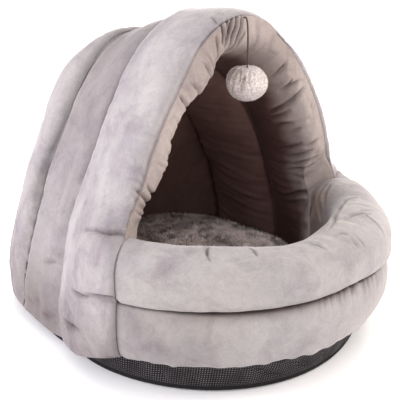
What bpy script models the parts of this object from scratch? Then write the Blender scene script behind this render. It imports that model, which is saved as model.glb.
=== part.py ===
"""Padded plush cat cave: a ribbed hood over a two-roll sill, a non-slip bottom, a loose cushion
and a gathered ball hanging on an elastic cord in the mouth.

Frame: metres, +Z up, the cave stands on z = 0 with its mouth facing -Y and is even about x = 0.
"""

import math

import bpy
from mathutils import Vector

# ---- driving dimensions -------------------------------------------------------------------------
GAP = 0.0003                # between pieces that touch

# the plan of the cave: a rounded front and a longer back, about one centre
PLAN_Y = -0.0285            # the centre of the front curve
SILL_HALF = 0.2110          # widest half width of the rolls
SILL_FRONT = 0.1995         # how far the rolls reach in front of the centre
BACK_REACH = 0.2545         # how far the hood reaches behind the centre

# the non-slip bottom: a shallow pan of cloth, puckered round its band
BASE_HEIGHT = 0.036
BASE_COLUMNS = ("half", "front", "back", "shift")
BASE_FOOT = (0.184, 0.175, 0.214, -0.006)   # reach of the band's foot from the plan's centre
BASE_TOP = (0.187, 0.184, 0.229, -0.004)    # and of its upper edge; it has crept to the left
BASE_SQUARENESS = 3.2       # of the back half of its outline, where 2 is an ellipse
PUCKERS = 44
PUCKER_DEPTH = 0.0016
BASE_COURSES = (            # (height, share from foot to top, inset) up the band
    (0.0000, 0.0, 0.0040),
    (0.0035, 0.0, 0.0000),
    (0.0180, 0.55, PUCKER_DEPTH),
    (BASE_HEIGHT - 0.003, 1.0, PUCKER_DEPTH * 0.35),
    (BASE_HEIGHT, 1.0, 0.0030),
)

# the sill: two stuffed rolls, one above the other, in one skin
SILL_Z = BASE_HEIGHT + GAP
LOWER_ROLL_Z = 0.071        # height of the widest line of the lower roll
LOWER_ROLL_TURN = 0.015     # how far the lower roll rounds in to its foot
GROOVE_Z = 0.1035           # the channel seam between the rolls
GROOVE_DEPTH = 0.0065
UPPER_ROLL_Z = 0.1310
SILL_TOP = 0.1565
SILL_THICK = 0.072          # through the rolls, front to back
SILL_CREST = 0.036          # the top line, in from the widest line
SILL_FACE_LEVELS = (SILL_Z, 0.0385, 0.045, 0.056, LOWER_ROLL_Z, 0.084, 0.093, 0.100, GROOVE_Z,
                    0.110, 0.118)
SILL_INSIDE = (             # (depth, height) down the inner side
    (SILL_THICK + 0.001, 0.112),
    (SILL_THICK - 0.001, 0.088),
    (SILL_THICK - 0.002, 0.062),
    (SILL_THICK - 0.005, 0.045),
    (SILL_THICK - 0.011, SILL_Z),
)
CROWN_STEPS = 12            # spans over the top of the upper roll
SILL_STATIONS = 44          # spans along the rolls
SILL_RUN = math.radians(71.0)       # how far round the plan the rolls run, each side of the middle
JOINT_TURN = math.radians(55.0)     # the end faces, where the rolls are sewn to the hood
JOINT_INNER = 0.1395        # half width of the hood's lining beside the rolls' ends
SLUMP = 0.017               # how far the rolls have sunk at their right end

# the hood: arches front to back, one row for each channel seam of the outer cloth, and the
# swell of the rib behind it; an arch is (x / half_width)^crown + (z / height)^side = 1
SEAM_COLUMNS = ("foot_y", "lean", "half_width", "height", "crown", "side", "swell")
SEAMS = (
    (-0.0670, 0.010, 0.189, 0.3645, 1.85, 1.88, 0.013),   # front edge
    (0.0180, 0.110, 0.204, 0.3450, 1.90, 1.22, 0.007),    # first rib to second
    (0.1100, 0.055, 0.206, 0.3280, 1.90, 0.95, 0.016),    # second to third
    (0.1600, 0.050, 0.188, 0.2990, 1.90, 1.20, 0.0),      # third rib to the back panel
)
LINING = (
    (-0.0670, 0.010, 0.157, 0.3350, 1.90, 1.75, 0.009),   # front edge
    (0.0200, 0.000, 0.160, 0.3030, 1.90, 1.75, 0.008),    # front rib to the middle panel
    (0.1300, 0.000, 0.150, 0.2620, 1.90, 1.95, 0.0),      # middle panel to the back
)
LINING_SHARE = (0.0, 1.0, 3.0)      # the outer seam that each lining seam stands behind
LINING_BACK = 0.1850        # y of the lining's furthest point, on the floor
SWELL_LOW = (0.25, 0.03, 0.20)      # the swell's share at a foot, growing to full between heights
SWELL_HIGH = (0.6, 0.26, 0.33)      # and its share over the crown, falling between heights
LIP_SWELL = 0.0045          # how far the front edge bulges ahead of its seam
LIP_STEPS = (0.25, 0.5, 0.75)       # rings across the front edge, from the lining to the outer cloth
RIB_FOOT = 0.0100           # the ribs hang this low outside the bottom's band at the sides
BACK_FOOT = 0.0180          # and this low at the back
RIM_CLEAR = 0.0015          # from the band to the inside of that hanging edge
TUCK_FROM = 0.085           # below this height the ribs draw in towards their foot
TUCK = 0.010
ARCH_STEPS = 48             # spans along an arch
ARCH_FINE = 160             # finer spans that they are measured out on
RIB_STEPS = (0.06, 0.20, 0.40, 0.60, 0.80, 0.94, 1.0)
BACK_STEPS = (0.97, 0.88, 0.72, 0.50, 0.25)

# the cushion
CUSHION_HALF = 0.134
CUSHION_FRONT = -0.1475
CUSHION_BACK = 0.176
CUSHION_EDGE_Z = 0.0545
CUSHION_TOP = 0.0760
CUSHION_SQUARENESS = 2.3
CUSHION_EDGE = (            # (share of the outline, height) round its stuffed edge
    (0.930, SILL_Z),
    (0.985, SILL_Z + 0.004),
    (1.000, 0.046),
    (0.985, CUSHION_EDGE_Z),
)
CUSHION_AROUND = 40
CUSHION_RINGS = 7

# the ball and its cord
BALL_AT = (0.0, -0.0735, 0.2935)
BALL_RADIUS = 0.0225
BALL_HALF_HEIGHT = 0.0195
BALL_PLEATS = 12
BALL_PLEAT_DEPTH = 0.07     # as a share of its radius
BALL_DIMPLE = 0.0035        # where the gathers meet under the cord
BALL_ROWS = 12
CORD_RADIUS = 0.0009
CORD_ROUTE = (
    (0.0, -0.0670, 0.3622),
    (0.0, -0.0692, 0.3632),
    (0.0, -0.0714, 0.3612),
    (0.0, -0.0727, 0.3560),
    (0.0, -0.0735, 0.3470),
    (0.0, -0.0738, 0.3370),
    (0.0, -0.0736, 0.3240),
    (0.0, -0.0735, 0.3103),
)
CORD_POINTS = 22


# ---- materials ----------------------------------------------------------------------------------
def material(name, colour, roughness):
    """A plain finish: colour is sRGB, 0 to 1."""
    made = bpy.data.materials.new(name)
    made.use_nodes = True
    shader = made.node_tree.nodes["Principled BSDF"]
    linear = [c / 12.92 if c < 0.04045 else ((c + 0.055) / 1.055) ** 2.4 for c in colour]
    shader.inputs["Base Color"].default_value = (*linear, 1.0)
    shader.inputs["Roughness"].default_value = roughness
    made.diffuse_color = (*linear, 1.0)
    return made


def add_mesh(name, points, faces, finish):
    mesh = bpy.data.meshes.new(name)
    mesh.from_pydata(points, [], faces)
    mesh.validate()
    mesh.shade_smooth()
    mesh.set_sharp_from_angle(angle=math.radians(60.0))
    mesh.materials.append(finish)
    made = bpy.data.objects.new(name, mesh)
    bpy.context.scene.collection.objects.link(made)
    return made


# ---- shared shapes ------------------------------------------------------------------------------
def mix(a, b, t):
    return a + (b - a) * t


def ease(low, high, value):
    """0 below low, 1 above high, smooth between."""
    t = min(max((value - low) / (high - low), 0.0), 1.0)
    return t * t * (3.0 - 2.0 * t)


def swell(t, flatness=2.4, fall=0.62):
    """A pillow's profile: 0 at t = 0 and 1, 1 halfway."""
    return max(0.0, 1.0 - abs(2.0 * t - 1.0) ** flatness) ** fall


def squared(part, power):
    """A sine or cosine drawn out to the corners: 2 gives an ellipse, more a squarer outline."""
    return math.copysign(abs(part) ** (2.0 / power), part)


def sill_depth(z):
    """How far the outer face of the rolls lies in from their widest line, at height z."""
    if z < LOWER_ROLL_Z:
        middle, reach, depth = LOWER_ROLL_Z, LOWER_ROLL_Z - SILL_Z, LOWER_ROLL_TURN
    elif z < GROOVE_Z:
        middle, reach, depth = LOWER_ROLL_Z, GROOVE_Z - LOWER_ROLL_Z, GROOVE_DEPTH
    elif z < UPPER_ROLL_Z:
        middle, reach, depth = UPPER_ROLL_Z, UPPER_ROLL_Z - GROOVE_Z, GROOVE_DEPTH
    else:
        middle, reach, depth = UPPER_ROLL_Z, SILL_TOP - UPPER_ROLL_Z, SILL_CREST
    rise = min(abs(z - middle) / reach, 1.0)
    return depth * (1.0 - math.sqrt(1.0 - rise * rise))


def joint_point(depth):
    """(half width, y) on the rolls' end face, at a depth in from its outer edge."""
    return (SILL_HALF * math.sin(SILL_RUN) - depth * math.sin(JOINT_TURN),
            PLAN_Y - SILL_FRONT * math.cos(SILL_RUN) + depth * math.cos(JOINT_TURN))


def joint_y(x):
    """The y of the rolls' end face at a distance x from the middle of the cave."""
    outer_x, outer_y = joint_point(0.0)
    return outer_y + (outer_x - abs(x)) / math.tan(JOINT_TURN)


def slumped(x, y, z, near=1.0):
    """The point lowered with the rolls' right end, which has sunk under its own filling."""
    share = ease(SILL_Z, GROOVE_Z, z) * (1.0 - ease(SILL_TOP, SILL_TOP + 0.11, z))
    return (x, y, z - SLUMP * share * near * ease(0.0, 0.19, x))


def course_faces(rows, around):
    """Faces between closed rows of points, one row above the other."""
    faces = []
    for row in range(rows - 1):
        for k in range(around):
            a, b = row * around + k, row * around + (k + 1) % around
            faces.append((a, b, b + around, a + around))
    return faces


def lid_faces(points, start, around, centre, turn):
    """A lid over one row, fanned from a new centre point; it faces down where turn is -1."""
    points.append(centre)
    faces = []
    for k in range(around):
        edge = (start + k, start + (k + 1) % around)
        faces.append((len(points) - 1, *edge[::turn]))
    return faces


# ---- the bottom ---------------------------------------------------------------------------------
def base_reach(share):
    """Half width and front and back reach of the bottom, from its foot (0) to its top (1)."""
    return dict(zip(BASE_COLUMNS, (mix(a, b, share) for a, b in zip(BASE_FOOT, BASE_TOP))))


def base_point(angle, share, inset=0.0):
    """A point of the bottom's outline, angle 0 at +X and a quarter turn at the back."""
    reach = base_reach(share)
    across, along = math.cos(angle), math.sin(angle)
    side, power = (reach["back"], BASE_SQUARENESS) if along > 0.0 else (reach["front"], 2.0)
    x, y = squared(across, power), squared(along, power)
    return (reach["shift"] + (reach["half"] - inset) * x, PLAN_Y + (side - inset) * y)


def make_base(finish):
    around = PUCKERS * 3
    points = []
    for row, (z, share, inset) in enumerate(BASE_COURSES):
        ends = row in (0, len(BASE_COURSES) - 1)
        for k in range(around):
            drawn = inset if ends or k % 3 == 0 else 0.0
            x, y = base_point(2.0 * math.pi * k / around, share, drawn)
            points.append((x, y, z))
    faces = []
    faces = course_faces(len(BASE_COURSES), around)
    faces += lid_faces(points, 0, around, (0.0, 0.0, 0.0), -1)
    faces += lid_faces(points, (len(BASE_COURSES) - 1) * around, around, (0.0, 0.0, BASE_HEIGHT), 1)
    return add_mesh("base", points, faces, finish)


# ---- the sill -----------------------------------------------------------------------------------
def sill_section():
    """(depth in from the widest line, height) of the rolls, counter-clockwise from the outer foot."""
    section = [(sill_depth(z), z) for z in SILL_FACE_LEVELS]
    half = SILL_THICK - SILL_CREST
    for k in range(CROWN_STEPS + 1):
        angle = math.pi * k / CROWN_STEPS
        reach = SILL_CREST if angle < math.pi / 2 else half
        section.append((SILL_CREST - reach * math.cos(angle),
                        UPPER_ROLL_Z + (SILL_TOP - UPPER_ROLL_Z) * math.sin(angle)))
    return section + list(SILL_INSIDE)


def make_sill(finish):
    section = sill_section()
    points = []
    for k in range(SILL_STATIONS + 1):
        share = mix(-1.0, 1.0, k / SILL_STATIONS)
        angle, turn = share * SILL_RUN, share * JOINT_TURN
        x, y = SILL_HALF * math.sin(angle), PLAN_Y - SILL_FRONT * math.cos(angle)
        for depth, z in section:
            points.append(slumped(x - depth * math.sin(turn), y + depth * math.cos(turn), z))
    size = len(section)
    faces = []
    for k in range(SILL_STATIONS):
        for j in range(size):
            a, b = k * size + j, k * size + (j + 1) % size
            faces.append((a, a + size, b + size, b))
    faces.append(tuple(range(size)))
    faces.append(tuple(SILL_STATIONS * size + j for j in reversed(range(size))))
    return add_mesh("sill", points, faces, finish)


# ---- the hood -----------------------------------------------------------------------------------
def seam_values(rows, place):
    """The arch at a place along the hood: 0 at the front edge, one more at each channel seam."""
    first = min(int(place), len(rows) - 2)
    t = place - first
    arch = dict(zip(SEAM_COLUMNS, (mix(a, b, t) for a, b in zip(rows[first], rows[first + 1]))))
    arch["swell"] = rows[first][-1] * swell(t)
    return arch


def lining_place(place):
    """The place between the lining's seams that stands behind a place of the outer cloth."""
    for k in range(len(LINING_SHARE) - 1):
        low, high = LINING_SHARE[k], LINING_SHARE[k + 1]
        if place <= high:
            return k + (place - low) / (high - low)
    return float(len(LINING) - 1)


def foot_z(place):
    """The ribs' outer foot: level with the rolls at the front, lowest at the sides."""
    side = mix(SILL_Z - 0.002, RIB_FOOT, ease(0.0, 0.7, place))
    return mix(side, BACK_FOOT, ease(0.9, 2.6, place))


def rib_swell(arch, z):
    """The swell of a rib at height z: less at its foot and over the crown."""
    low = mix(SWELL_LOW[0], 1.0, ease(*SWELL_LOW[1:], z))
    return arch["swell"] * low * mix(1.0, SWELL_HIGH[0], ease(*SWELL_HIGH[1:], z))


def arch_points(arch, foot):
    """Points of one arch, evenly spread from the left foot over the top to the right foot."""
    low = math.asin((foot / arch["height"]) ** (arch["side"] / 2.0))
    fine = []
    for k in range(ARCH_FINE + 1):
        angle = mix(low, math.pi / 2, k / ARCH_FINE)
        x = abs(math.cos(angle)) ** (2.0 / arch["crown"]) if k < ARCH_FINE else 0.0
        z = math.sin(angle) ** (2.0 / arch["side"])
        fine.append(Vector((arch["half_width"] * x, arch["foot_y"], arch["height"] * z)))
    lengths = [0.0]
    for near, far in zip(fine, fine[1:]):
        lengths.append(lengths[-1] + (far - near).length)
    right, k = [], 0
    for step in range(ARCH_STEPS // 2 + 1):
        wanted = lengths[-1] * step / (ARCH_STEPS // 2)
        while k < ARCH_FINE - 1 and lengths[k + 1] < wanted:
            k += 1
        right.append(fine[k].lerp(fine[k + 1], (wanted - lengths[k]) / (lengths[k + 1] - lengths[k])))
    right[-1].x = 0.0
    left = [Vector((-point.x, point.y, point.z)) for point in right]
    return left + right[-2::-1]


def arch_normals(points):
    normals = []
    for k in range(len(points)):
        along = points[min(k + 1, len(points) - 1)] - points[max(k - 1, 0)]
        normals.append(Vector((-along.z, 0.0, along.x)).normalized())
    return normals


def drawn_in(z, foot):
    """How far the ribs draw in at height z towards their foot."""
    return TUCK * max(0.0, (TUCK_FROM - z) / (TUCK_FROM - foot)) ** 2


def front_shift(point, place):
    """How far a point near the front edge moves in y to lie against the rolls' end face."""
    near = max(0.0, 1.0 - place) * (1.0 - ease(SILL_TOP, SILL_TOP + 0.045, point.z))
    return near * (joint_y(point.x) + GAP - SEAMS[0][0])


def beside_rolls(half, out, z, place):
    """The half width of a rib near the front, where it takes up the shape of the rolls' ends."""
    widest = joint_point(0.0)[0] + out
    level = ease(SILL_TOP - 0.03, SILL_TOP + 0.03, z)
    soft = half + max(0.0, 1.0 - place) * (1.0 - level) * max(0.0, widest - half)
    exact = joint_point(sill_depth(max(z, SILL_Z)))[0] + out if z < SILL_TOP else half
    return mix(exact, soft, ease(0.0, 0.25, place))


def outer_ring(place):
    arch = seam_values(SEAMS, place)
    foot = foot_z(place)
    points = arch_points(arch, foot)
    near = max(0.0, 1.0 - place)
    ring = []
    for point, normal in zip(points, arch_normals(points)):
        side = -1.0 if point.x < 0.0 else 1.0
        out = rib_swell(arch, point.z) if place >= 1.0 else arch["swell"]
        swollen = point + normal * out
        half = max(abs(swollen.x) - drawn_in(point.z, foot) * (1.0 - near), 0.0)
        half = beside_rolls(half, out, point.z, place)
        x = side * half if point.x else 0.0
        lean = arch["lean"] * max(0.0, point.z - SILL_TOP * near)
        z = max(swollen.z, foot)
        y = point.y + lean + front_shift(Vector((x, 0.0, z)), place)
        ring.append(Vector(slumped(x, y, z, near)))
    return ring


def inner_ring(place):
    inside = lining_place(place)
    arch = seam_values(LINING, inside)
    limit = mix(JOINT_INNER, arch["half_width"], min(inside, 1.0))
    ring = []
    points = arch_points(arch, SILL_Z)
    for point, normal in zip(points, arch_normals(points)):
        swollen = point - normal * arch["swell"] * ease(SILL_Z, SILL_TOP, point.z)
        x = math.copysign(min(abs(swollen.x), limit), point.x) if point.x else 0.0
        z = max(swollen.z, SILL_Z)
        near = max(0.0, 1.0 - inside)
        lean = arch["lean"] * max(0.0, point.z - SILL_TOP * near)
        y = point.y + lean + front_shift(Vector((x, 0.0, z)), inside)
        ring.append(Vector(slumped(x, y, z, near)))
    return ring


def back_ring(share, rows, furthest, foot):
    """A ring of the back panel: the last seam's arch drawn together to a point at the foot."""
    arch = seam_values(rows, len(rows) - 1)
    bow = math.sqrt(1.0 - share * share)
    ring = []
    for point in arch_points(arch, foot):
        z = foot + (point.z - foot) * share
        draw = drawn_in(z, foot) if rows is SEAMS else 0.0
        side = (point.x > 0.0) - (point.x < 0.0)
        x = side * max(abs(point.x) * share - draw * share, 0.0)
        y = point.y + arch["lean"] * z + (furthest - point.y) * bow - draw * bow
        ring.append(Vector((x, y, z)))
    return ring


def lip_ring(inner, outer, t):
    """A ring of the front edge, t of the way from the lining to the outer cloth."""
    ring = []
    for a, b in zip(inner, outer):
        middle = a.lerp(b, (1.0 - math.cos(math.pi * t)) / 2.0)
        ahead = LIP_SWELL * math.sin(math.pi * t) * ease(SILL_TOP + 0.002, SILL_TOP + 0.035, middle.z)
        ring.append(middle - Vector((0.0, ahead, 0.0)))
    return ring


def make_hood(finish):
    places = [0.0] + [rib + step for rib in range(len(SEAMS) - 1) for step in RIB_STEPS]
    outer = [outer_ring(place) for place in places]
    inner = [inner_ring(place) for place in places]
    furthest = PLAN_Y + BACK_REACH
    outer += [back_ring(share, SEAMS, furthest, BACK_FOOT) for share in BACK_STEPS]
    inner += [back_ring(share, LINING, LINING_BACK, SILL_Z) for share in BACK_STEPS]
    rings = inner[::-1] + [lip_ring(inner[0], outer[0], t) for t in LIP_STEPS] + outer
    width = ARCH_STEPS + 1
    points = [tuple(p) for ring in rings for p in ring]
    faces = []
    for k in range(len(rings) - 1):
        for j in range(ARCH_STEPS):
            a = k * width + j
            faces.append((a, a + 1, a + 1 + width, a + width))
    inner_pole, outer_pole = len(points), len(points) + 1
    points.append((0.0, LINING_BACK, SILL_Z))
    points.append((0.0, furthest - TUCK, BACK_FOOT))
    last = (len(rings) - 1) * width
    for j in range(ARCH_STEPS):
        faces.append((inner_pole, j + 1, j))
        faces.append((outer_pole, last + j, last + j + 1))
    faces += foot_faces(len(rings), width, points, inner_pole, outer_pole)
    return add_mesh("hood", points, faces, finish)


def foot_faces(count, width, points, inner_pole, outer_pole):
    """The underside: from each inner foot over the bottom's rim and down to the outer foot."""
    middle = count // 2
    faces = []
    pole_chain = rim_chain(points, inner_pole, outer_pole)
    for side in (0, width - 1):
        chains = [pole_chain]
        for k in range(middle):
            chains.append(rim_chain(points, k * width + side, (count - 1 - k) * width + side))
        for near, far in zip(chains, chains[1:]):
            for a in range(3):
                face = (near[a], near[a + 1], far[a + 1], far[a])
                faces.append(face[::-1] if side == 0 else face)
        tip = middle * width + side
        for a in range(3):
            face = (chains[-1][a], chains[-1][a + 1], tip)
            faces.append(face[::-1] if side == 0 else face)
    return faces


def rim_chain(points, inner_index, outer_index):
    """The feet's indices with two new points between them, clear of the bottom's rim."""
    inner, outer = Vector(points[inner_index]), Vector(points[outer_index])
    low, high = 0.0, 1.0
    for _ in range(30):
        share = (low + high) / 2.0
        if past_rim(outer.lerp(inner, share)):
            low = share
        else:
            high = share
    rim = outer.lerp(inner, low)
    points.append((rim.x, rim.y, inner.z))
    points.append((rim.x, rim.y, outer.z))
    return (inner_index, len(points) - 2, len(points) - 1, outer_index)


def past_rim(point):
    """True where a point lies outside the bottom's upper edge by the rim's clearance."""
    reach = base_reach(1.0)
    behind = point.y > PLAN_Y
    side, power = (reach["back"], BASE_SQUARENESS) if behind else (reach["front"], 2.0)
    across = abs(point.x - reach["shift"]) / (reach["half"] + RIM_CLEAR)
    along = abs(point.y - PLAN_Y) / (side + RIM_CLEAR)
    return across ** power + along ** power > 1.0


# ---- the cushion --------------------------------------------------------------------------------
def make_cushion(finish):
    middle = (CUSHION_FRONT + CUSHION_BACK) / 2.0
    half_y = (CUSHION_BACK - CUSHION_FRONT) / 2.0
    top_share, edge_z = CUSHION_EDGE[-1]
    profile = list(CUSHION_EDGE)
    for k in range(1, CUSHION_RINGS):
        share = 1.0 - k / CUSHION_RINGS
        rise = (1.0 - share ** 2.2) ** 0.9
        profile.append((share * top_share, mix(edge_z + 0.004, CUSHION_TOP, rise)))
    points = []
    for share, z in profile:
        for k in range(CUSHION_AROUND):
            angle = 2.0 * math.pi * k / CUSHION_AROUND
            x = CUSHION_HALF * squared(math.cos(angle), CUSHION_SQUARENESS)
            y = half_y * squared(math.sin(angle), CUSHION_SQUARENESS)
            points.append((x * share, middle + y * share, z))
    faces = course_faces(len(profile), CUSHION_AROUND)
    last = (len(profile) - 1) * CUSHION_AROUND
    faces += lid_faces(points, 0, CUSHION_AROUND, (0.0, middle, SILL_Z), -1)
    faces += lid_faces(points, last, CUSHION_AROUND, (0.0, middle, CUSHION_TOP), 1)
    return add_mesh("cushion", points, faces, finish)


# ---- the ball and the cord ----------------------------------------------------------------------
def make_ball(finish):
    around = BALL_PLEATS * 2
    points = [(BALL_AT[0], BALL_AT[1], BALL_AT[2] - BALL_HALF_HEIGHT)]
    for row in range(1, BALL_ROWS):
        tilt = math.pi * (row / BALL_ROWS - 0.5)
        gathered = ease(0.1, 1.2, tilt)
        for k in range(around):
            angle = 2.0 * math.pi * k / around
            pleat = 1.0 - BALL_PLEAT_DEPTH * gathered * (k % 2)
            reach = BALL_RADIUS * math.cos(tilt) * pleat
            z = BALL_HALF_HEIGHT * math.sin(tilt)
            points.append((BALL_AT[0] + reach * math.cos(angle),
                           BALL_AT[1] + reach * math.sin(angle), BALL_AT[2] + z))
    points.append((BALL_AT[0], BALL_AT[1], BALL_AT[2] + BALL_HALF_HEIGHT - BALL_DIMPLE))
    faces = []
    for k in range(around):
        after = (k + 1) % around
        faces.append((0, 1 + after, 1 + k))
        for row in range(BALL_ROWS - 2):
            a, b = 1 + row * around + k, 1 + row * around + after
            faces.append((a, b, b + around, a + around))
        top = 1 + (BALL_ROWS - 2) * around
        faces.append((len(points) - 1, top + k, top + after))
    return add_mesh("ball", points, faces, finish)


def smooth_route(route, count):
    """Points evenly spread on one smooth curve through the route's own points."""
    rows = [Vector(p) for p in route]
    rows = [2 * rows[0] - rows[1], *rows, 2 * rows[-1] - rows[-2]]
    fine = []
    for k in range(1, len(rows) - 2):
        p0, p1, p2, p3 = rows[k - 1:k + 3]
        for j in range(20):
            t = j / 20.0
            fine.append(0.5 * ((2 * p1) + (p2 - p0) * t + (2 * p0 - 5 * p1 + 4 * p2 - p3) * t ** 2
                               + (3 * p1 - p0 - 3 * p2 + p3) * t ** 3))
    fine.append(rows[-2])
    return [fine[round(k * (len(fine) - 1) / (count - 1))] for k in range(count)]


def make_cord(finish):
    curve = bpy.data.curves.new("ball_cord", "CURVE")
    curve.dimensions = "3D"
    curve.bevel_depth = CORD_RADIUS
    curve.bevel_resolution = 2
    curve.use_fill_caps = True
    spline = curve.splines.new("POLY")
    route = smooth_route(CORD_ROUTE, CORD_POINTS)
    spline.points.add(len(route) - 1)
    for slot, point in zip(spline.points, route):
        slot.co = (*point, 1.0)
    curve.materials.append(finish)
    made = bpy.data.objects.new("ball_cord", curve)
    bpy.context.scene.collection.objects.link(made)
    return made


def main():
    for old in list(bpy.data.objects):
        bpy.data.objects.remove(old, do_unlink=True)
    plush = material("mauve plush", (0.76, 0.72, 0.74), 0.9)
    make_hood(plush)
    make_sill(plush)
    make_base(material("dotted non-slip cloth", (0.16, 0.15, 0.16), 0.8))
    make_cushion(material("taupe long plush", (0.60, 0.55, 0.50), 0.95))
    make_ball(material("cream plush", (0.90, 0.87, 0.85), 0.9))
    make_cord(material("dark elastic", (0.20, 0.15, 0.14), 0.7))


main()
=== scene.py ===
"""Padded plush cat cave, dressed: ribbed hood, two-roll sill, dotted non-slip bottom, long-pile
cushion and a gathered ball on an elastic cord, on a plain pale floor.

Metres, +Z up, the mouth faces -Y. The shapes repeat the part's own, at the scale of the cloth.
"""

import functools
import math

import bpy
import numpy as np
from bpy.props import FloatProperty, IntProperty, PointerProperty
from mathutils import Matrix, Vector, noise


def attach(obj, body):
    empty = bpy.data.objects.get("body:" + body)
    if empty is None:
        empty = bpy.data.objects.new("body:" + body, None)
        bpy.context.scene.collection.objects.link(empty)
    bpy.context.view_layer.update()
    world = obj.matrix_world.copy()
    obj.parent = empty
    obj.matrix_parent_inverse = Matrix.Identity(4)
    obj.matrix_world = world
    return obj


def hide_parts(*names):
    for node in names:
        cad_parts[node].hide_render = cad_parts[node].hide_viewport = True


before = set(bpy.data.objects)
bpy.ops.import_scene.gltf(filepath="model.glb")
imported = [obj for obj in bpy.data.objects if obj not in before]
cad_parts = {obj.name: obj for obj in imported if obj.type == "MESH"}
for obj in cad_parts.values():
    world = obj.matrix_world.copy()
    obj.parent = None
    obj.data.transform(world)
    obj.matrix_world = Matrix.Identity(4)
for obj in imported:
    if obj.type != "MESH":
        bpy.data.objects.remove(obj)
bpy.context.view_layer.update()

bl_info = {
    "name": "Plush cat cave",
    "version": (1, 0, 0),
    "blender": (4, 5, 0),
    "location": "View3D > Sidebar > Cat cave",
    "description": "Makes the cloth, pile and stitching of a padded plush cat cave",
    "category": "Object",
}

# ---- driving dimensions, repeated from the part ----------
MM = 0.001
GAP = 0.3 * MM
PLAN_Y = -0.0285            # the centre of the front curve
SILL_HALF = 0.2110          # widest half width of the rolls
SILL_FRONT = 0.1995
BACK_REACH = 0.2545
BASE_HEIGHT = 0.036
BASE_COLUMNS = ("half", "front", "back", "shift")
BASE_FOOT = (0.184, 0.175, 0.214, -0.006)
BASE_TOP = (0.187, 0.184, 0.229, -0.004)
BASE_SQUARENESS = 3.2
SILL_Z = BASE_HEIGHT + GAP
LOWER_ROLL_Z = 0.071
LOWER_ROLL_TURN = 0.015
GROOVE_Z = 0.1035           # the channel seam between the rolls
GROOVE_DEPTH = 0.0065
UPPER_ROLL_Z = 0.1310
SILL_TOP = 0.1565
SILL_THICK = 0.072
SILL_CREST = 0.036
SILL_INSIDE = (             # (depth, height) down the inner side
    (SILL_THICK + 0.001, 0.112),
    (SILL_THICK - 0.001, 0.088),
    (SILL_THICK - 0.002, 0.062),
    (SILL_THICK - 0.005, 0.045),
    (SILL_THICK - 0.011, SILL_Z),
)
SILL_SHOWN = 0.14           # how far up the section from the outer foot the rolls show
SILL_RUN = math.radians(71.0)
JOINT_TURN = math.radians(55.0)
JOINT_INNER = 0.1395
SLUMP = 0.017
SLUMP_OVER = 0.11           # how far above the rolls the hood sinks with them
SLUMP_AT = 0.19             # and how far to the right it is deepest
SEAM_COLUMNS = ("foot_y", "lean", "half_width", "height", "crown", "side", "swell")
SEAMS = (
    (-0.0670, 0.010, 0.189, 0.3645, 1.85, 1.88, 0.013),   # front edge
    (0.0180, 0.110, 0.204, 0.3450, 1.90, 1.22, 0.007),    # first rib to second
    (0.1100, 0.055, 0.206, 0.3280, 1.90, 0.95, 0.016),    # second to third
    (0.1600, 0.050, 0.188, 0.2990, 1.90, 1.20, 0.0),      # third rib to the back panel
)
LINING = (
    (-0.0670, 0.010, 0.157, 0.3350, 1.90, 1.75, 0.009),   # front edge
    (0.0200, 0.000, 0.160, 0.3030, 1.90, 1.75, 0.008),    # front rib to the middle panel
    (0.1300, 0.000, 0.150, 0.2620, 1.90, 1.95, 0.0),      # middle panel to the back
)
LINING_SHARE = (0.0, 1.0, 3.0)
LINING_BACK = 0.1850
SWELL_LOW = (0.25, 0.03, 0.20)
SWELL_HIGH = (0.6, 0.26, 0.33)
LIP_SWELL = 0.0045
RIB_FOOT = 0.0100
BACK_FOOT = 0.0180
FRONT_FOOT = SILL_Z - 0.002
FRONT_RISE = 0.045          # over what height above the rolls the front edge leaves their end face
ROLL_BLEND = 0.030          # how far above and below the rolls' top a rib takes up their width
JOINT_PLACE = 0.25          # how far back a rib follows the rolls' ends exactly
RIM_CLEAR = 0.0015
RIM_OVER = 1.009            # how far out the cover's foot is kept, 1 at that clearance
FOOT_LIFT = 0.006
TUCK_FROM = 0.085
TUCK = 0.010
CUSHION_HALF = 0.134
CUSHION_FRONT = -0.1475
CUSHION_BACK = 0.176
CUSHION_TOP = 0.0760
CUSHION_SQUARENESS = 2.3
CUSHION_CROWN = 0.013       # how far the unfilled cushion rises from its side to its middle
CUSHION_RIM = ((0.90, 0.0012), (0.955, 0.005), (0.972, 0.012), (0.958, 0.019))  # (share out, height)
BALL_AT = (0.0, -0.0735, 0.2935)
BALL_RADIUS = 0.0225
BALL_HALF_HEIGHT = 0.0195
BALL_DIMPLE = 0.0035
BALL_LOCKS = 7000
BALL_PILE = 0.0010
BALL_LOCK_WIDTH = 0.00016
CORD_RADIUS = 0.0009
CORD_ROUTE = (              # from the crown's front seam down to the ball
    (0.0, -0.0670, 0.3622),
    (0.0, -0.0692, 0.3632),
    (0.0, -0.0714, 0.3612),
    (0.0, -0.0727, 0.3560),
    (0.0, -0.0735, 0.3470),
    (0.0, -0.0738, 0.3370),
    (0.0, -0.0736, 0.3240),
    (0.0, -0.0735, 0.3103),
)
CORD_POINTS = 36

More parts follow.
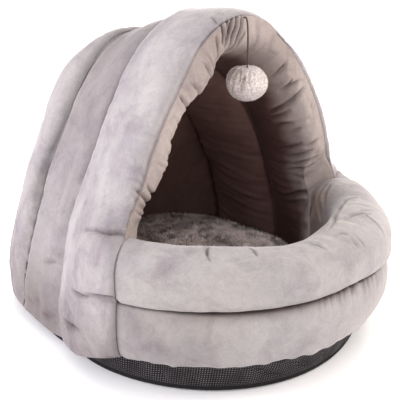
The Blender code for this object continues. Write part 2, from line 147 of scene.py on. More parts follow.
# ---- the photograph's view -------------------------------
VIEW_AZIMUTH = math.radians(-41.86)
VIEW_ELEVATION = math.radians(20.47)
VIEW_DISTANCE = 0.9735
VIEW_CENTRE = (0.0, -0.0285, 0.18)
VIEW_RIGHT = -0.0208        # from the centre to the point looked at, across and up the picture
VIEW_UP = -0.0323
VIEW_LENS_MM = 75.0
SENSOR_MM = 36.0
FLOOR_HALF = 30.0
LIT_POINT = (0.0, 0.0, 0.15)
SOFT_BOXES = (              # (place, share of the power, size, tint): warm at the right, cool at the left
    ((0.1, -0.5, 1.7), 0.2, 1.2, "FFFFFF"),
    ((1.5, -1.2, 1.0), 2.5, 0.9, "FFF4EA"),
    ((-1.6, -0.9, 1.0), 0.9, 0.9, "F9F6FF"),
    ((-1.6, 1.2, 0.8), 3.0, 0.9, "F8F5FF"),
    ((1.7, 0.8, 1.0), 2.3, 0.9, "FFF8F0"),
)

# ---- how finely the cloth is modelled --------------------
ARCH_STEPS = 530
RIB_RINGS = (48, 28, 28)
BACK_RINGS = 40
LIP_RINGS = 18
SILL_STATIONS = 280
SILL_AROUND = 170
BAND_AROUND = 640
CUSHION_AROUND = 96
CUSHION_RINGS = 14
BALL_AROUND = 144
BALL_RINGS = 72


# ---- colours and materials -------------------------------
def linear(code):
    """A linear colour with its alpha, from an sRGB hex code."""
    channels = [int(code[k:k + 2], 16) / 255.0 for k in (0, 2, 4)]
    return (*(c / 12.92 if c < 0.04045 else ((c + 0.055) / 1.055) ** 2.4 for c in channels), 1.0)


def add_node(tree, kind, output=0, inputs=None, **settings):
    """One output of a new node, with its settings, and its inputs set or linked by name or number."""
    node = tree.nodes.new("ShaderNode" + kind)
    for name, value in settings.items():
        setattr(node, name, value)
    for socket, value in (inputs or {}).items():
        if isinstance(value, bpy.types.NodeSocket):
            tree.links.new(value, node.inputs[socket])
        else:
            node.inputs[socket].default_value = value
    return node.outputs[output]


def new_material(name, **values):
    """A node material, its tree, its shader with its own sockets set, and the place on the object."""
    made = bpy.data.materials.new(name)
    made.use_nodes = True
    tree = made.node_tree
    shader = tree.nodes["Principled BSDF"]
    for socket, value in values.items():
        shader.inputs[socket.replace("_", " ")].default_value = value
    return made, tree, shader, add_node(tree, "TexCoord", "Object")


PATTERNS = {                # cloudy patterns: size in mm, detail, roughness, distortion, and for some
                            # the range that is picked out of them and what it is spread out to
    "lay of the pile": (50.0, 3.0, 0.55, 0.6, 0.34, 0.66, 0.0, 1.0),
    "warm drift": (120.0, 2.0, 0.55, 0.0, 0.50, 0.75, 0.0, 1.0),
    "bruises": (13.0, 4.0, 0.64, 1.1, 0.34, 0.58, 0.92, 1.02),
    "smudges": (42.0, 5.0, 0.62, 0.5, 0.50, 0.72, 0.0, 1.0),
    "knit": (2.2, 3.0, 0.7, 0.0),       # about 0.5 mm in the cloth; drawn coarser so that it shows
    "nap": (6.0, 3.0, 0.6, 0.8),
    "wide locks": (22.0, 4.0, 0.65, 0.8, 0.38, 0.60, 0.0, 1.0),
    "fine locks": (2.4, 4.0, 0.65, 0.8, 0.38, 0.60, 0.0, 1.0),
    "fibre": (1.0, 3.0, 0.7, 0.0),
    "worn dots": (20.0, 4.0, 0.6, 0.0, 0.35, 0.70, 0.35, 1.0),
    "weave": (0.8, 2.0, 0.55, 0.0),
    "weave relief": (0.8, 3.0, 0.55, 0.0),
    "roller marks": (400.0, 3.0, 0.55, 0.0, 0.3, 0.7, 0.992, 1.0),
}


def spreading(value, *spread):
    """A MapRange node's inputs, to spread a range of a value out to another range."""
    return dict(zip(("Value", "From Min", "From Max", "To Min", "To Max"), (value, *spread)))


def pattern(tree, place, name):
    """A cloudy pattern from its row in the table."""
    size, detail, roughness, distortion, *spread = PATTERNS[name]
    made = add_node(tree, "TexNoise", 0, {"Vector": place, "Scale": 1.0 / (size * MM), "Detail": detail,
                                          "Roughness": roughness, "Distortion": distortion})
    return add_node(tree, "MapRange", 0, spreading(made, *spread)) if spread else made


def finished(made, tree, shader, colour, layers, heights=()):
    """The material with its colour under (mode, share, colour) layers, and (height, depth, strength) bumps.

    A layer's share and colour may be patterns, and a depth is in metres.
    """
    colour = linear(colour)
    for mode, share, over in layers:
        over = linear(over) if isinstance(over, str) else over
        colour = add_node(tree, "Mix", 2, {0: share, 6: colour, 7: over}, data_type="RGBA", blend_type=mode)
    tree.links.new(colour, shader.inputs["Base Color"])
    for height, depth, strength in heights:
        inputs = {"Height": height, "Distance": depth, "Strength": strength}
        below = shader.inputs["Normal"].links
        if below:
            inputs["Normal"] = below[0].from_socket
        tree.links.new(add_node(tree, "Bump", 0, inputs), shader.inputs["Normal"])
    return made


def velour(name, light, shade, warm, painted_depth_shade=None, sheen=0.4):
    """Short knitted velour: a 1.5 mm pile that lies in patches, so the colour drifts with its lay.

    The eye sees soft cloudy patches, small bruises, paler edges where the pile stands, and no gloss.
    """
    made, tree, shader, place = new_material(name, Roughness=0.92, Specular_IOR_Level=0.2, Sheen_Weight=sheen,
                                             Sheen_Roughness=0.35, Sheen_Tint=linear("F4EEF0"))
    tall = add_node(tree, "VectorMath", 0, {0: place, 1: (1.0, 1.0, 0.45)}, operation="MULTIPLY")
    # smudges of crushed pile at random, weighted to the cave's left half as painted shade on that side
    across = add_node(tree, "SeparateXYZ", "X", {0: place})
    left = add_node(tree, "MapRange", 0, spreading(across, -0.16, 0.08, 1.0, 0.2))
    smudges = {0: pattern(tree, place, "smudges"), 1: left}
    knit = pattern(tree, place, "knit")
    layers = [
        ("MIX", pattern(tree, tall, "lay of the pile"), light),
        ("MIX", pattern(tree, place, "warm drift"), warm),
        ("MULTIPLY", 1.0, pattern(tree, place, "bruises")),
        ("MULTIPLY", add_node(tree, "Math", 0, smudges, operation="MULTIPLY"), "DAD3D9"),
        ("MULTIPLY", 1.0, add_node(tree, "MapRange", 0, spreading(knit, 0.3, 0.7, 0.93, 1.06))),
        # painted shade from a mesh attribute: darker in creases, seams and hollows, along the hood's foot and
        # at its crown; on the hood's second channel it also holds that channel's pile lay
        ("MULTIPLY", add_node(tree, "Attribute", "Fac", attribute_name="painted_shade_and_pile_lay"), "8C7E7C"),
    ]
    # painted shade: darker deep inside the lining and on the inner side of the rolls' right end
    if painted_depth_shade:
        layers.append(("MULTIPLY", add_node(tree, "Attribute", "Fac", attribute_name="inside"), painted_depth_shade))
    heights = ((pattern(tree, place, "nap"), 0.0016, 0.4), (knit, 0.0006, 0.4))
    return finished(made, tree, shader, shade, layers, heights)


def long_plush(name, root, tip, locks, sheen):
    """Long-pile plush: soft fibres in locks, dark between them and pale at the tips."""
    made, tree, shader, place = new_material(name, Roughness=0.95, Specular_IOR_Level=0.15,
                                             Sheen_Weight=sheen, Sheen_Roughness=0.5)
    locks, fibre = pattern(tree, place, locks), pattern(tree, place, "fibre")
    layers = (
        ("MIX", locks, tip),
        ("MULTIPLY", 1.0, add_node(tree, "MapRange", 0, spreading(fibre, 0.3, 0.7, 0.88, 1.08))),
        # painted shade from a mesh attribute: darker in the ball's gathers and on its left side
        ("MULTIPLY", add_node(tree, "Attribute", "Fac", attribute_name="painted_shade_and_pile_lay"), "8D7670"),
    )
    return finished(made, tree, shader, root, layers, ((locks, 0.0020, 0.5), (fibre, 0.0008, 0.5)))


DOT_PITCH = 2.7 * MM
DOT_EDGE = (0.14, 0.32)     # a dot's radii at its top and its foot, in pitches
PIPING_TOP = (0.0056, 0.0062)   # the heights between which the dots begin above the piping


def dotted_cloth(name):
    """Non-slip cloth: black plain-woven polyester printed with rows of small clear rubber dots.

    The dots stand 2.7 mm apart as grey points on the dull black weave; their grey is a painted highlight on
    the clear rubber. A plain piping runs along the lower edge.
    """
    made, tree, shader, place = new_material(name, Roughness=0.85, Specular_IOR_Level=0.2)
    flat = add_node(tree, "UVMap", "UV", uv_map="cloth")
    dots = (1.0 / DOT_PITCH, 1.0 / DOT_PITCH, 0.0)
    grid = add_node(tree, "VectorMath", 0, {0: flat, 1: dots}, operation="MULTIPLY")
    cell = add_node(tree, "VectorMath", 0, {0: grid}, operation="FRACTION")
    away = add_node(tree, "VectorMath", "Value", {0: cell, 1: (0.5, 0.5, 0.0)}, operation="DISTANCE")
    up = add_node(tree, "SeparateXYZ", "Y", {0: flat})
    edges = ((away, *DOT_EDGE, 1.0, 0.0), (up, *PIPING_TOP, 0.0, 1.0))
    factors = [add_node(tree, "MapRange", 0, spreading(*row)) for row in edges]
    dot = add_node(tree, "Math", 0, dict(enumerate(factors)), operation="MULTIPLY")
    shown = add_node(tree, "Math", 0, {0: dot, 1: pattern(tree, place, "worn dots")}, operation="MULTIPLY")
    # the dots' grey is a painted highlight on the clear rubber, thinned where they are worn
    layers = (("MIX", pattern(tree, place, "weave"), "262224"), ("MIX", shown, "857F82"))
    heights = ((dot, 0.0006, 0.7), (pattern(tree, place, "weave relief"), 0.0003, 0.4))
    return finished(made, tree, shader, "121012", layers, heights)


YARN_BANDS = 0.31 / (0.95 * MM)


def yarn(name, dark, pale):
    """Twisted or braided yarn: slanting bands of fibre about 1 mm apart, with a faint sheen."""
    made, tree, shader, place = new_material(name, Roughness=0.75, Specular_IOR_Level=0.3, Sheen_Weight=0.15)
    inputs = {"Vector": place, "Scale": YARN_BANDS, "Distortion": 1.5}
    bands = add_node(tree, "TexWave", "Fac", inputs, bands_direction="DIAGONAL")
    return finished(made, tree, shader, dark, (("MIX", bands, pale),), ((bands, 0.0002, 0.5),))


def studio_paint(name, code):
    """Matt studio floor paint: pale and even, with a trace of roller texture."""
    made, tree, shader, place = new_material(name, Roughness=0.95, Specular_IOR_Level=0.1)
    return finished(made, tree, shader, code, (("MULTIPLY", 1.0, pattern(tree, place, "roller marks")),))


# ---- small helpers ---------------------------------------
def mix(a, b, t):
    return a + (b - a) * t


def ease(low, high, value):
    """0 at low, 1 at high, smooth between and even beyond; low may be the greater."""
    t = np.clip((value - low) / (high - low), 0.0, 1.0)
    return t * t * (3.0 - 2.0 * t)


def near(distance, width):
    """A soft mark: 1 on the line, almost 0 at twice its width."""
    return np.exp(-(distance / width) ** 2)


def swell(t, flatness=2.4, fall=0.62):
    """A pillow's profile: 0 at t = 0 and 1, 1 halfway."""
    return np.maximum(0.0, 1.0 - np.abs(2.0 * t - 1.0) ** flatness) ** fall


def squared(part, power):
    return np.sign(part) * np.abs(part) ** (2.0 / power)


def cloud(points, size, seed=0.0):
    """Smooth noise from about -1 to 1 at each point; size is one number, or one for each axis."""
    scaled = points / np.asarray(size)
    shift = Vector((17.3 * seed, 5.1 * seed, 9.7 * seed))
    flat = scaled.reshape(-1, 3)
    values = np.array([noise.noise(Vector(p) + shift) for p in flat.tolist()])
    return values.reshape(points.shape[:-1])


def clouds(points, rows):
    """The sum of a table's clouds in metres: (depth in mm, size in metres, seed)."""
    return sum(depth * MM * cloud(points, size, seed) for depth, size, seed in rows)


WRINKLES = {                # depth, mean pitch in mm, seed, and how far across they stay alike
    "channel": (1.7, 10, 3, 0.8),
    "front seam": (1.0, 9, 7, 1.0),
    "facing": (1.6, 10, 11, 0.7),
    "facing's edge": (2.2, 26, 14, 1.0),
    "facing's creases": (1.0, 20, 13, 1.2),
    "lining's rolls": (1.0, 15, 23, 1.1),
    "lining": (1.6, 8, 26, 0.8),
    "inner panels": (1.6, 16, 25, 0.6),
    "inner panels, fine": (1.8, 8, 27, 0.5),
    "gathers": (1.0, 7, 33, 0.05),
    "upper roll": (0.8, 14, 34, 1.0),
    "hem": (2.4, 34, 35, 1.0),
    "hem, fine": (1.0, 11, 36, 1.0),
    "crest, fine": (1.2, 12, 37, 0.04),
    "crest": (1.8, 40, 38, 1.0),
    "scallops": (1.0, 17, 44, 1.0),
    "band, fine": (1.1, 9, 41, 0.9),
    "band": (3.0, 30, 42, 1.2),
    "band's creases": (1.0, 40, 43, 1.6),
}


def wrinkles(name, along, across=0.0):
    """A table row's uneven wrinkles, counted along one length and drifting with the one across."""
    depth, pitch, seed, alike = WRINKLES[name]
    along, across = np.broadcast_arrays(along, across)
    points = parts(along / (pitch * MM), across / alike, np.full(along.shape, 3.7 * seed))
    return depth * cloud(points, 1.0, seed)


def creases(value, sharpness):
    """Thin valleys where a noise crosses zero: 1 in the valley, 0 away from it."""
    return np.maximum(0.0, 1.0 - np.abs(value) * sharpness) ** 1.5


def marked(fields, rows):
    """The sum of a table's marks, each an amount times its factors.

    A factor is a field as it is, a field with "at", a line and its half width, or a field with "from"
    and the two values between which it rises from 0 to 1.
    """
    total = 0.0
    for amount, *factors in rows:
        for name, *shape in factors:
            value = fields[name]
            if shape:
                kind, first, second = shape
                value = near(value - first, second) if kind == "at" else ease(first, second, value)
            amount = amount * value
        total = total + amount
    return total


def lengths(points, axis):
    """The length run along one axis of a grid of points, from 0."""
    steps = np.linalg.norm(np.diff(points, axis=axis), axis=-1)
    start = np.zeros_like(np.take(steps, [0], axis=axis))
    return np.cumsum(np.concatenate([start, steps], axis=axis), axis=axis)


def parts(*values):
    """Points, or other rows, from the arrays of their parts."""
    return np.stack(values, axis=-1)


def sampled(points, run, at):
    """The points of a line, whose lengths run along it are known, at other lengths."""
    return parts(*(np.interp(at, run, column) for column in points.T))


def unit(vectors):
    return vectors / np.maximum(np.linalg.norm(vectors, axis=-1, keepdims=True), 1e-9)


def grid_normals(points, closed=False):
    """Outward normals of a grid of rings, whose faces turn from along the ring to across it."""
    if closed:
        along = np.roll(points, -1, axis=1) - np.roll(points, 1, axis=1)
    else:
        along = np.gradient(points, axis=1)
    return unit(np.cross(along, np.gradient(points, axis=0)))


def grid_faces(rings, width, closed=False):
    """Faces between rings of points; closed joins each ring's last point to its first."""
    spans = width if closed else width - 1
    rows = np.arange(rings - 1)[:, None] * width
    a = rows + np.arange(spans)[None, :]
    b = rows + (np.arange(spans)[None, :] + 1) % width
    return parts(a, b, b + width, a + width).reshape(-1, 4).tolist()


def capped(rings, bottom, top):
    """A closed skin of rings, which turn left and run upwards, between two end points."""
    points = np.concatenate([np.reshape(rings, (-1, 3)), [bottom, top]])
    around, last = len(rings[0]), len(points) - 2 - len(rings[0])
    faces = grid_faces(len(rings), around, closed=True)
    for first, centre, turn in ((0, len(points) - 2, -1), (last, len(points) - 1, 1)):
        faces += [(centre, *(first + k, first + (k + 1) % around)[::turn]) for k in range(around)]
    return points, faces


def mesh_vectors(mesh, name="co"):
    """The places of a mesh's points, or their normals."""
    flat = np.empty(len(mesh.vertices) * 3)
    mesh.vertices.foreach_get(name, flat)
    return flat.reshape(-1, 3)


def move_points(mesh, points):
    mesh.vertices.foreach_set("co", points.ravel())
    mesh.update()


def add_object(name, data):
    made = bpy.data.objects.new(name, data)
    bpy.context.scene.collection.objects.link(made)
    return made


def declare(made, node=None):
    """The piece rides on the cave, and may stand for one of the part's nodes."""
    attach(made, "root")
    if node:
        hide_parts(node)
    return made


def add_piece(name, points, faces, finish, node=None, slot=None, attributes=None):
    """A smooth mesh piece with its finish and its marks, declared as above."""
    mesh = bpy.data.meshes.new(name)
    mesh.from_pydata(np.asarray(points).tolist(), [], faces)
    mesh.validate()
    mesh.shade_smooth()
    mesh.materials.append(finish)
    for title, values in (attributes or {}).items():
        data = mesh.attributes.new(title, "FLOAT", "POINT").data
        data.foreach_set("value", np.asarray(values, np.float32))
    return declare(add_object(name, mesh), node)


# ---- the part's shapes -----------------------------------
ROLL_ARCS = (               # (up to this height, middle, reach, depth) of the rolls' outer face
    (LOWER_ROLL_Z, LOWER_ROLL_Z, LOWER_ROLL_Z - SILL_Z, LOWER_ROLL_TURN),
    (GROOVE_Z, LOWER_ROLL_Z, GROOVE_Z - LOWER_ROLL_Z, GROOVE_DEPTH),
    (UPPER_ROLL_Z, UPPER_ROLL_Z, UPPER_ROLL_Z - GROOVE_Z, GROOVE_DEPTH),
    (math.inf, UPPER_ROLL_Z, SILL_TOP - UPPER_ROLL_Z, SILL_CREST),
)


def sill_depth(z):
    """How far the outer face of the rolls lies in from their widest line, at height z."""
    arcs = np.array(ROLL_ARCS)
    _, middle, reach, depth = np.moveaxis(arcs[np.searchsorted(arcs[:, 0], z, side="right")], -1, 0)
    rise = np.minimum(np.abs(z - middle) / reach, 1.0)
    return depth * (1.0 - np.sqrt(1.0 - rise * rise))


def joint_point(depth):
    return (SILL_HALF * math.sin(SILL_RUN) - depth * math.sin(JOINT_TURN),
            PLAN_Y - SILL_FRONT * math.cos(SILL_RUN) + depth * math.cos(JOINT_TURN))


def joint_y(x):
    outer_x, outer_y = joint_point(0.0)
    return outer_y + (outer_x - np.abs(x)) / math.tan(JOINT_TURN)


def slumped(points, share=1.0):
    """The points lowered with the rolls' right end, which has sunk under its own filling."""
    x, z = points[..., 0], points[..., 2]
    sunk = ease(SILL_Z, GROOVE_Z, z) * ease(SILL_TOP + SLUMP_OVER, SILL_TOP, z)
    lowered = points.copy()
    lowered[..., 2] = z - SLUMP * sunk * share * ease(0.0, SLUMP_AT, x)
    return lowered


def seam_values(rows, place):
    """The arch at a place along the hood: 0 at the front edge, one more at each channel seam."""
    first = min(int(place), len(rows) - 2)
    t = place - first
    arch = dict(zip(SEAM_COLUMNS, (mix(a, b, t) for a, b in zip(rows[first], rows[first + 1]))))
    arch["swell"] = rows[first][-1] * swell(t)
    return arch


def lining_place(place):
    return float(np.interp(place, LINING_SHARE, range(len(LINING))))


def foot_z(place):
    side = mix(FRONT_FOOT, RIB_FOOT, ease(0.0, 0.7, place))
    return mix(side, BACK_FOOT, ease(0.9, 2.6, place))


FINER_COLUMNS = (           # (how much closer, at which turn, over what half width)
    (1.4, -0.04, 0.12),     # the crown's pleats
    (0.5, 0.45, 0.28),      # the wrinkled lining at the right
    (0.6, -0.72, 0.16),     # the left foot's folds
)


@functools.lru_cache(maxsize=1)
def arch_turns():
    """The columns' places along an arch, -1 to 1, closer where pleats and wrinkles are fine."""
    turn = np.linspace(-1.0, 1.0, 4001)
    dense = 1.0 + sum(more * near(turn - at, width) for more, at, width in FINER_COLUMNS)
    run = np.concatenate([[0.0], np.cumsum((dense[1:] + dense[:-1]) / 2.0)])
    return np.interp(np.linspace(0.0, run[-1], ARCH_STEPS + 1), run, turn)


def arch_points(arch, foot):
    """Points of one arch from the left foot over the top to the right foot."""
    low = math.asin((foot / arch["height"]) ** (arch["side"] / 2.0))
    angle = np.linspace(low, math.pi / 2, 500)
    x = arch["half_width"] * np.abs(np.cos(angle)) ** (2.0 / arch["crown"])
    z = arch["height"] * np.sin(angle) ** (2.0 / arch["side"])
    x[-1] = 0.0
    run = lengths(parts(x, z), 0)
    turn = arch_turns()
    wanted = (1.0 - np.abs(turn)) * run[-1]
    x, z = np.sign(turn) * np.interp(wanted, run, x), np.interp(wanted, run, z)
    return parts(x, np.full(x.shape, arch["foot_y"]), z)


def arch_normals(points):
    along = np.gradient(points, axis=0)
    return unit(parts(-along[:, 2], np.zeros(len(points)), along[:, 0]))


def front_shift(x, z, place):
    """How far a point near the front edge moves in y to lie against the rolls' end face."""
    share = max(0.0, 1.0 - place) * ease(SILL_TOP + FRONT_RISE, SILL_TOP, z)
    return share * (joint_y(x) + GAP - SEAMS[0][0])


def beside_rolls(half, out, z, place):
    """The half width of a rib near the front, where it takes up the shape of the rolls' ends."""
    widest = joint_point(0.0)[0] + out
    low = ease(SILL_TOP + ROLL_BLEND, SILL_TOP - ROLL_BLEND, z)
    soft = half + max(0.0, 1.0 - place) * low * np.maximum(0.0, widest - half)
    exact = np.where(z < SILL_TOP, joint_point(sill_depth(np.maximum(z, SILL_Z)))[0] + out, half)
    return mix(exact, soft, ease(0.0, JOINT_PLACE, place))


def drawn_in(z, foot):
    return TUCK * np.maximum(0.0, (TUCK_FROM - z) / (TUCK_FROM - foot)) ** 2


def fullness(z):
    """The share of a rib's full swelling at a height: less near the foot and over the crown."""
    return mix(SWELL_LOW[0], 1.0, ease(*SWELL_LOW[1:], z)) * mix(1.0, SWELL_HIGH[0], ease(*SWELL_HIGH[1:], z))


def outer_ring(place):
    arch, foot = seam_values(SEAMS, place), foot_z(place)
    points = arch_points(arch, foot)
    z0 = points[:, 2]
    share = max(0.0, 1.0 - place)
    out = arch["swell"] * (fullness(z0) if place >= 1.0 else np.ones(z0.shape))
    swollen = points + arch_normals(points) * out[:, None]
    half = np.maximum(np.abs(swollen[:, 0]) - drawn_in(z0, foot) * (1.0 - share), 0.0)
    x = np.sign(points[:, 0]) * beside_rolls(half, out, z0, place)
    z = np.maximum(swollen[:, 2], foot)
    lean = arch["lean"] * np.maximum(0.0, z0 - SILL_TOP * share)
    y = points[:, 1] + lean + front_shift(x, z, place)
    return slumped(parts(x, y, z), share)


def inner_ring(place):
    inside = lining_place(place)
    arch = seam_values(LINING, inside)
    if inside < 0.5:        # the front edge rolls over into the lining without a seam
        arch["swell"] = LINING[0][-1] * float(ease(0.0, 0.5, inside))
    limit = mix(JOINT_INNER, arch["half_width"], min(inside, 1.0))
    points = arch_points(arch, SILL_Z)
    z0 = points[:, 2]
    out = arch["swell"] * ease(SILL_Z, SILL_TOP, z0)
    swollen = points - arch_normals(points) * out[:, None]
    x = np.sign(points[:, 0]) * np.minimum(np.abs(swollen[:, 0]), limit)
    z = np.maximum(swollen[:, 2], SILL_Z)
    share = max(0.0, 1.0 - inside)
    lean = arch["lean"] * np.maximum(0.0, z0 - SILL_TOP * share)
    y = points[:, 1] + lean + front_shift(x, z, inside)
    return slumped(parts(x, y, z), share)


def back_ring(share, rows, furthest, foot):
    """A ring of the back panel: the last seam's arch drawn together to a point at the foot."""
    arch = seam_values(rows, len(rows) - 1)
    bow = math.sqrt(1.0 - share * share)
    points = arch_points(arch, foot)
    z = foot + (points[:, 2] - foot) * share
    draw = drawn_in(z, foot) if rows is SEAMS else 0.0
    x = np.sign(points[:, 0]) * np.maximum(np.abs(points[:, 0]) * share - draw * share, 0.0)
    y = points[:, 1] + arch["lean"] * z + (furthest - points[:, 1]) * bow - draw * bow
    return parts(x, y, z)


def lip_ring(inner, outer, t):
    middle = mix(inner, outer, (1.0 - math.cos(math.pi * t)) / 2.0)
    ahead = LIP_SWELL * math.sin(math.pi * t) * ease(SILL_TOP + 0.002, SILL_TOP + 0.035, middle[:, 2])
    middle[:, 1] -= ahead
    return middle


# ---- the hood --------------------------------------------
# Folds that show: (depth mm, width mm, then marks of (place, turn) that the fold runs through).
# Place is 0 at the front seam, one more at each channel seam behind it, and runs on the other way
# over the front edge to -1 where the lining starts and -2 at the lining's first seam. Turn runs
# from -1 at the left foot over 0 at the crown to 1 at the right foot.
HOOD_FOLDS = (
    # across the lining of the front rib at the right
    (4.0, 3.0, (-0.63, 0.221), (-1.02, 0.221), (-1.20, 0.232)),
    (7.0, 4.0, (-0.58, 0.311), (-1.03, 0.295), (-1.17, 0.300)),
    (4.0, 3.0, (-0.89, 0.279), (-1.05, 0.295)),
    (7.0, 4.0, (-0.53, 0.347), (-1.01, 0.347), (-1.31, 0.368), (-1.47, 0.374)),
    (4.0, 4.0, (-1.12, 0.384), (-1.28, 0.395), (-1.47, 0.400)),
    (5.0, 5.0, (-1.17, 0.432), (-1.37, 0.432), (-1.57, 0.442)),
    (3.0, 3.0, (-1.05, 0.458), (-1.25, 0.474)),
    (4.0, 3.5, (-1.08, 0.511), (-1.28, 0.532), (-1.47, 0.537)),
    (4.0, 3.5, (-0.58, 0.526), (-1.03, 0.526)),
    (4.5, 3.5, (-1.00, 0.542), (-1.12, 0.563), (-1.31, 0.574)),
    (6.0, 3.5, (-0.58, 0.584), (-1.02, 0.584), (-1.22, 0.605)),
    (5.0, 3.2, (-0.58, 0.611), (-1.04, 0.611), (-1.25, 0.626)),
    (5.0, 3.2, (-0.47, 0.637), (-0.79, 0.637), (-1.17, 0.653)),
    (3.0, 3.0, (-1.63, 0.595), (-1.40, 0.605), (-1.28, 0.595)),
    (9.0, 3.6, (-0.32, 0.668), (-0.79, 0.690), (-1.17, 0.714), (-1.40, 0.739), (-2.00, 0.780)),
    # pleats gathered at the crown, a little left of the cord
    (7.5, 2.7, (0.00, -0.037), (-0.21, -0.047), (-0.53, -0.058), (-0.84, -0.079)),
    (7.5, 2.7, (0.00, -0.021), (-0.37, -0.032), (-0.68, -0.047), (-1.01, -0.063)),
    (7.5, 2.7, (-0.11, -0.007), (-0.42, -0.012), (-0.79, -0.026), (-1.12, -0.040)),
    (6.0, 2.6, (-0.63, 0.005), (-0.95, -0.010), (-1.25, -0.015)),
    (6.0, 2.6, (0.00, -0.079), (-0.42, -0.079), (-0.68, -0.088)),
    (5.5, 2.4, (0.01, -0.053), (-0.32, -0.063), (-0.63, -0.074)),
    # puckers that cross the facing at the left
    (4.0, 2.2, (-0.25, -0.106), (-0.63, -0.111), (-1.05, -0.128)),
    (2.5, 2.0, (-0.30, -0.160), (-0.75, -0.150), (-1.05, -0.148)),
    (2.5, 1.8, (-0.35, -0.182), (-0.74, -0.174), (-1.05, -0.170)),
    (3.0, 2.2, (-0.35, -0.246), (-0.89, -0.232), (-1.10, -0.228)),
    (5.0, 2.6, (-0.10, -0.292), (-0.60, -0.289), (-1.10, -0.280)),
    (2.0, 2.2, (-0.30, -0.345), (-1.05, -0.338)),
    (1.6, 2.0, (-0.45, -0.402), (-1.05, -0.398)),
    (2.0, 2.2, (-0.30, -0.478), (-1.05, -0.470)),
    (2.6, 2.4, (-0.10, -0.540), (-0.70, -0.553), (-1.05, -0.558)),
    (4.2, 2.4, (0.04, -0.568), (-0.58, -0.579), (-1.10, -0.590)),
    (1.6, 2.2, (0.16, -0.542), (-0.05, -0.550)),
    (2.0, 2.2, (-0.15, -0.620), (-0.80, -0.628), (-1.05, -0.634)),
    # the outer cloth
    (2.5, 2.6, (0.14, -0.068), (0.03, -0.084)),
    (5.0, 3.6, (0.52, -0.655), (0.34, -0.658), (0.15, -0.674), (-0.10, -0.693)),
    (5.0, 3.6, (0.52, 0.655), (0.34, 0.658), (0.15, 0.674), (-0.10, 0.693)),
    (7.0, 3.4, (-0.30, -0.821), (0.00, -0.818), (0.12, -0.816), (0.40, -0.811)),
    (7.0, 3.4, (-0.30, 0.821), (0.00, 0.818), (0.12, 0.816), (0.60, 0.80)),
    (4.5, 3.2, (0.34, -0.818), (0.53, -0.816), (0.66, -0.811)),
    (1.8, 3.6, (1.45, -0.955), (1.22, -0.950)),
    (2.5, 3.2, (1.50, -0.805), (1.19, -0.784)),
    (3.5, 6.0, (0.83, -0.916), (0.69, -0.916), (0.53, -0.916)),
)
RIB_WIDTH = 0.085           # from one channel seam to the next, at mid height


def fold_marks(grid, rows, columns, marks):
    """Points on the cloth along a fold, four to each span between its marks."""
    spans = len(marks) - 1
    share = np.linspace(0.0, spans, 4 * spans + 1)
    row, column = (np.interp(share, range(spans + 1), np.interp(at, names, range(len(names))))
                   for at, names in zip(zip(*marks), (rows, columns)))
    i, j = np.minimum(row.astype(int), len(rows) - 2), np.minimum(column.astype(int), len(columns) - 2)
    u, v = (row - i)[:, None], (column - j)[:, None]
    return mix(mix(grid[i, j], grid[i, j + 1], v), mix(grid[i + 1, j], grid[i + 1, j + 1], v), u)


def folded(grid, rows, columns, folds):
    """How deep a table's folds press a grid of cloth in, and how much painted shade darkens the cloth in
    them.
    """
    depth, closed = np.zeros(grid.shape[:2]), np.zeros(grid.shape[:2])
    for depth_mm, width_mm, *marks in folds:
        line = fold_marks(grid, rows, columns, marks)
        off, along = np.full(depth.shape, 1.0), np.zeros(depth.shape)
        for k, (start, end) in enumerate(zip(line, line[1:])):
            run = end - start
            t = np.clip((grid - start) @ run / max(float(run @ run), 1e-12), 0.0, 1.0)
            away = np.linalg.norm(grid - start - t[..., None] * run, axis=-1)
            along = np.where(away < off, (k + t) / (len(line) - 1), along)
            off = np.minimum(off, away)
        # a fold is deepest and widest at its middle and runs out to nothing
        taper = 0.25 + 0.75 * np.sin(math.pi * along) ** 0.7
        width = 0.72 * width_mm * MM * (0.55 + 0.45 * taper)
        sharp = 0.5 * near(off, width) + 0.5 * np.exp(-off / (0.8 * width))
        depth += depth_mm * MM * taper * (sharp - 0.22 * near(off - 2.4 * width, 1.3 * width))
        # painted shade in the fold, darkest along its line
        closed = np.maximum(closed, 0.8 * taper * min(1.0, depth_mm / 5.0) * np.exp(-off / (0.7 * width)))
    return depth, closed


# How far each channel seam runs ahead of the plain ribs' seam over the crown: mm, then the turns
# between which it falls back to it.
SEAM_AHEAD = ((27.0, 0.38, 0.72), (11.0, 0.38, 0.56), (0.0, 0.3, 0.6))


def seam_ahead(turn, ahead_mm, first, last):
    return ahead_mm * MM * (1.0 - ease(first, last, np.abs(turn)))


def pinch(gap):
    """How far a channel is drawn in at a distance from its seam, as a share of its swelling."""
    return 1.0 - swell(np.minimum(np.abs(gap) / RIB_WIDTH, 0.5))


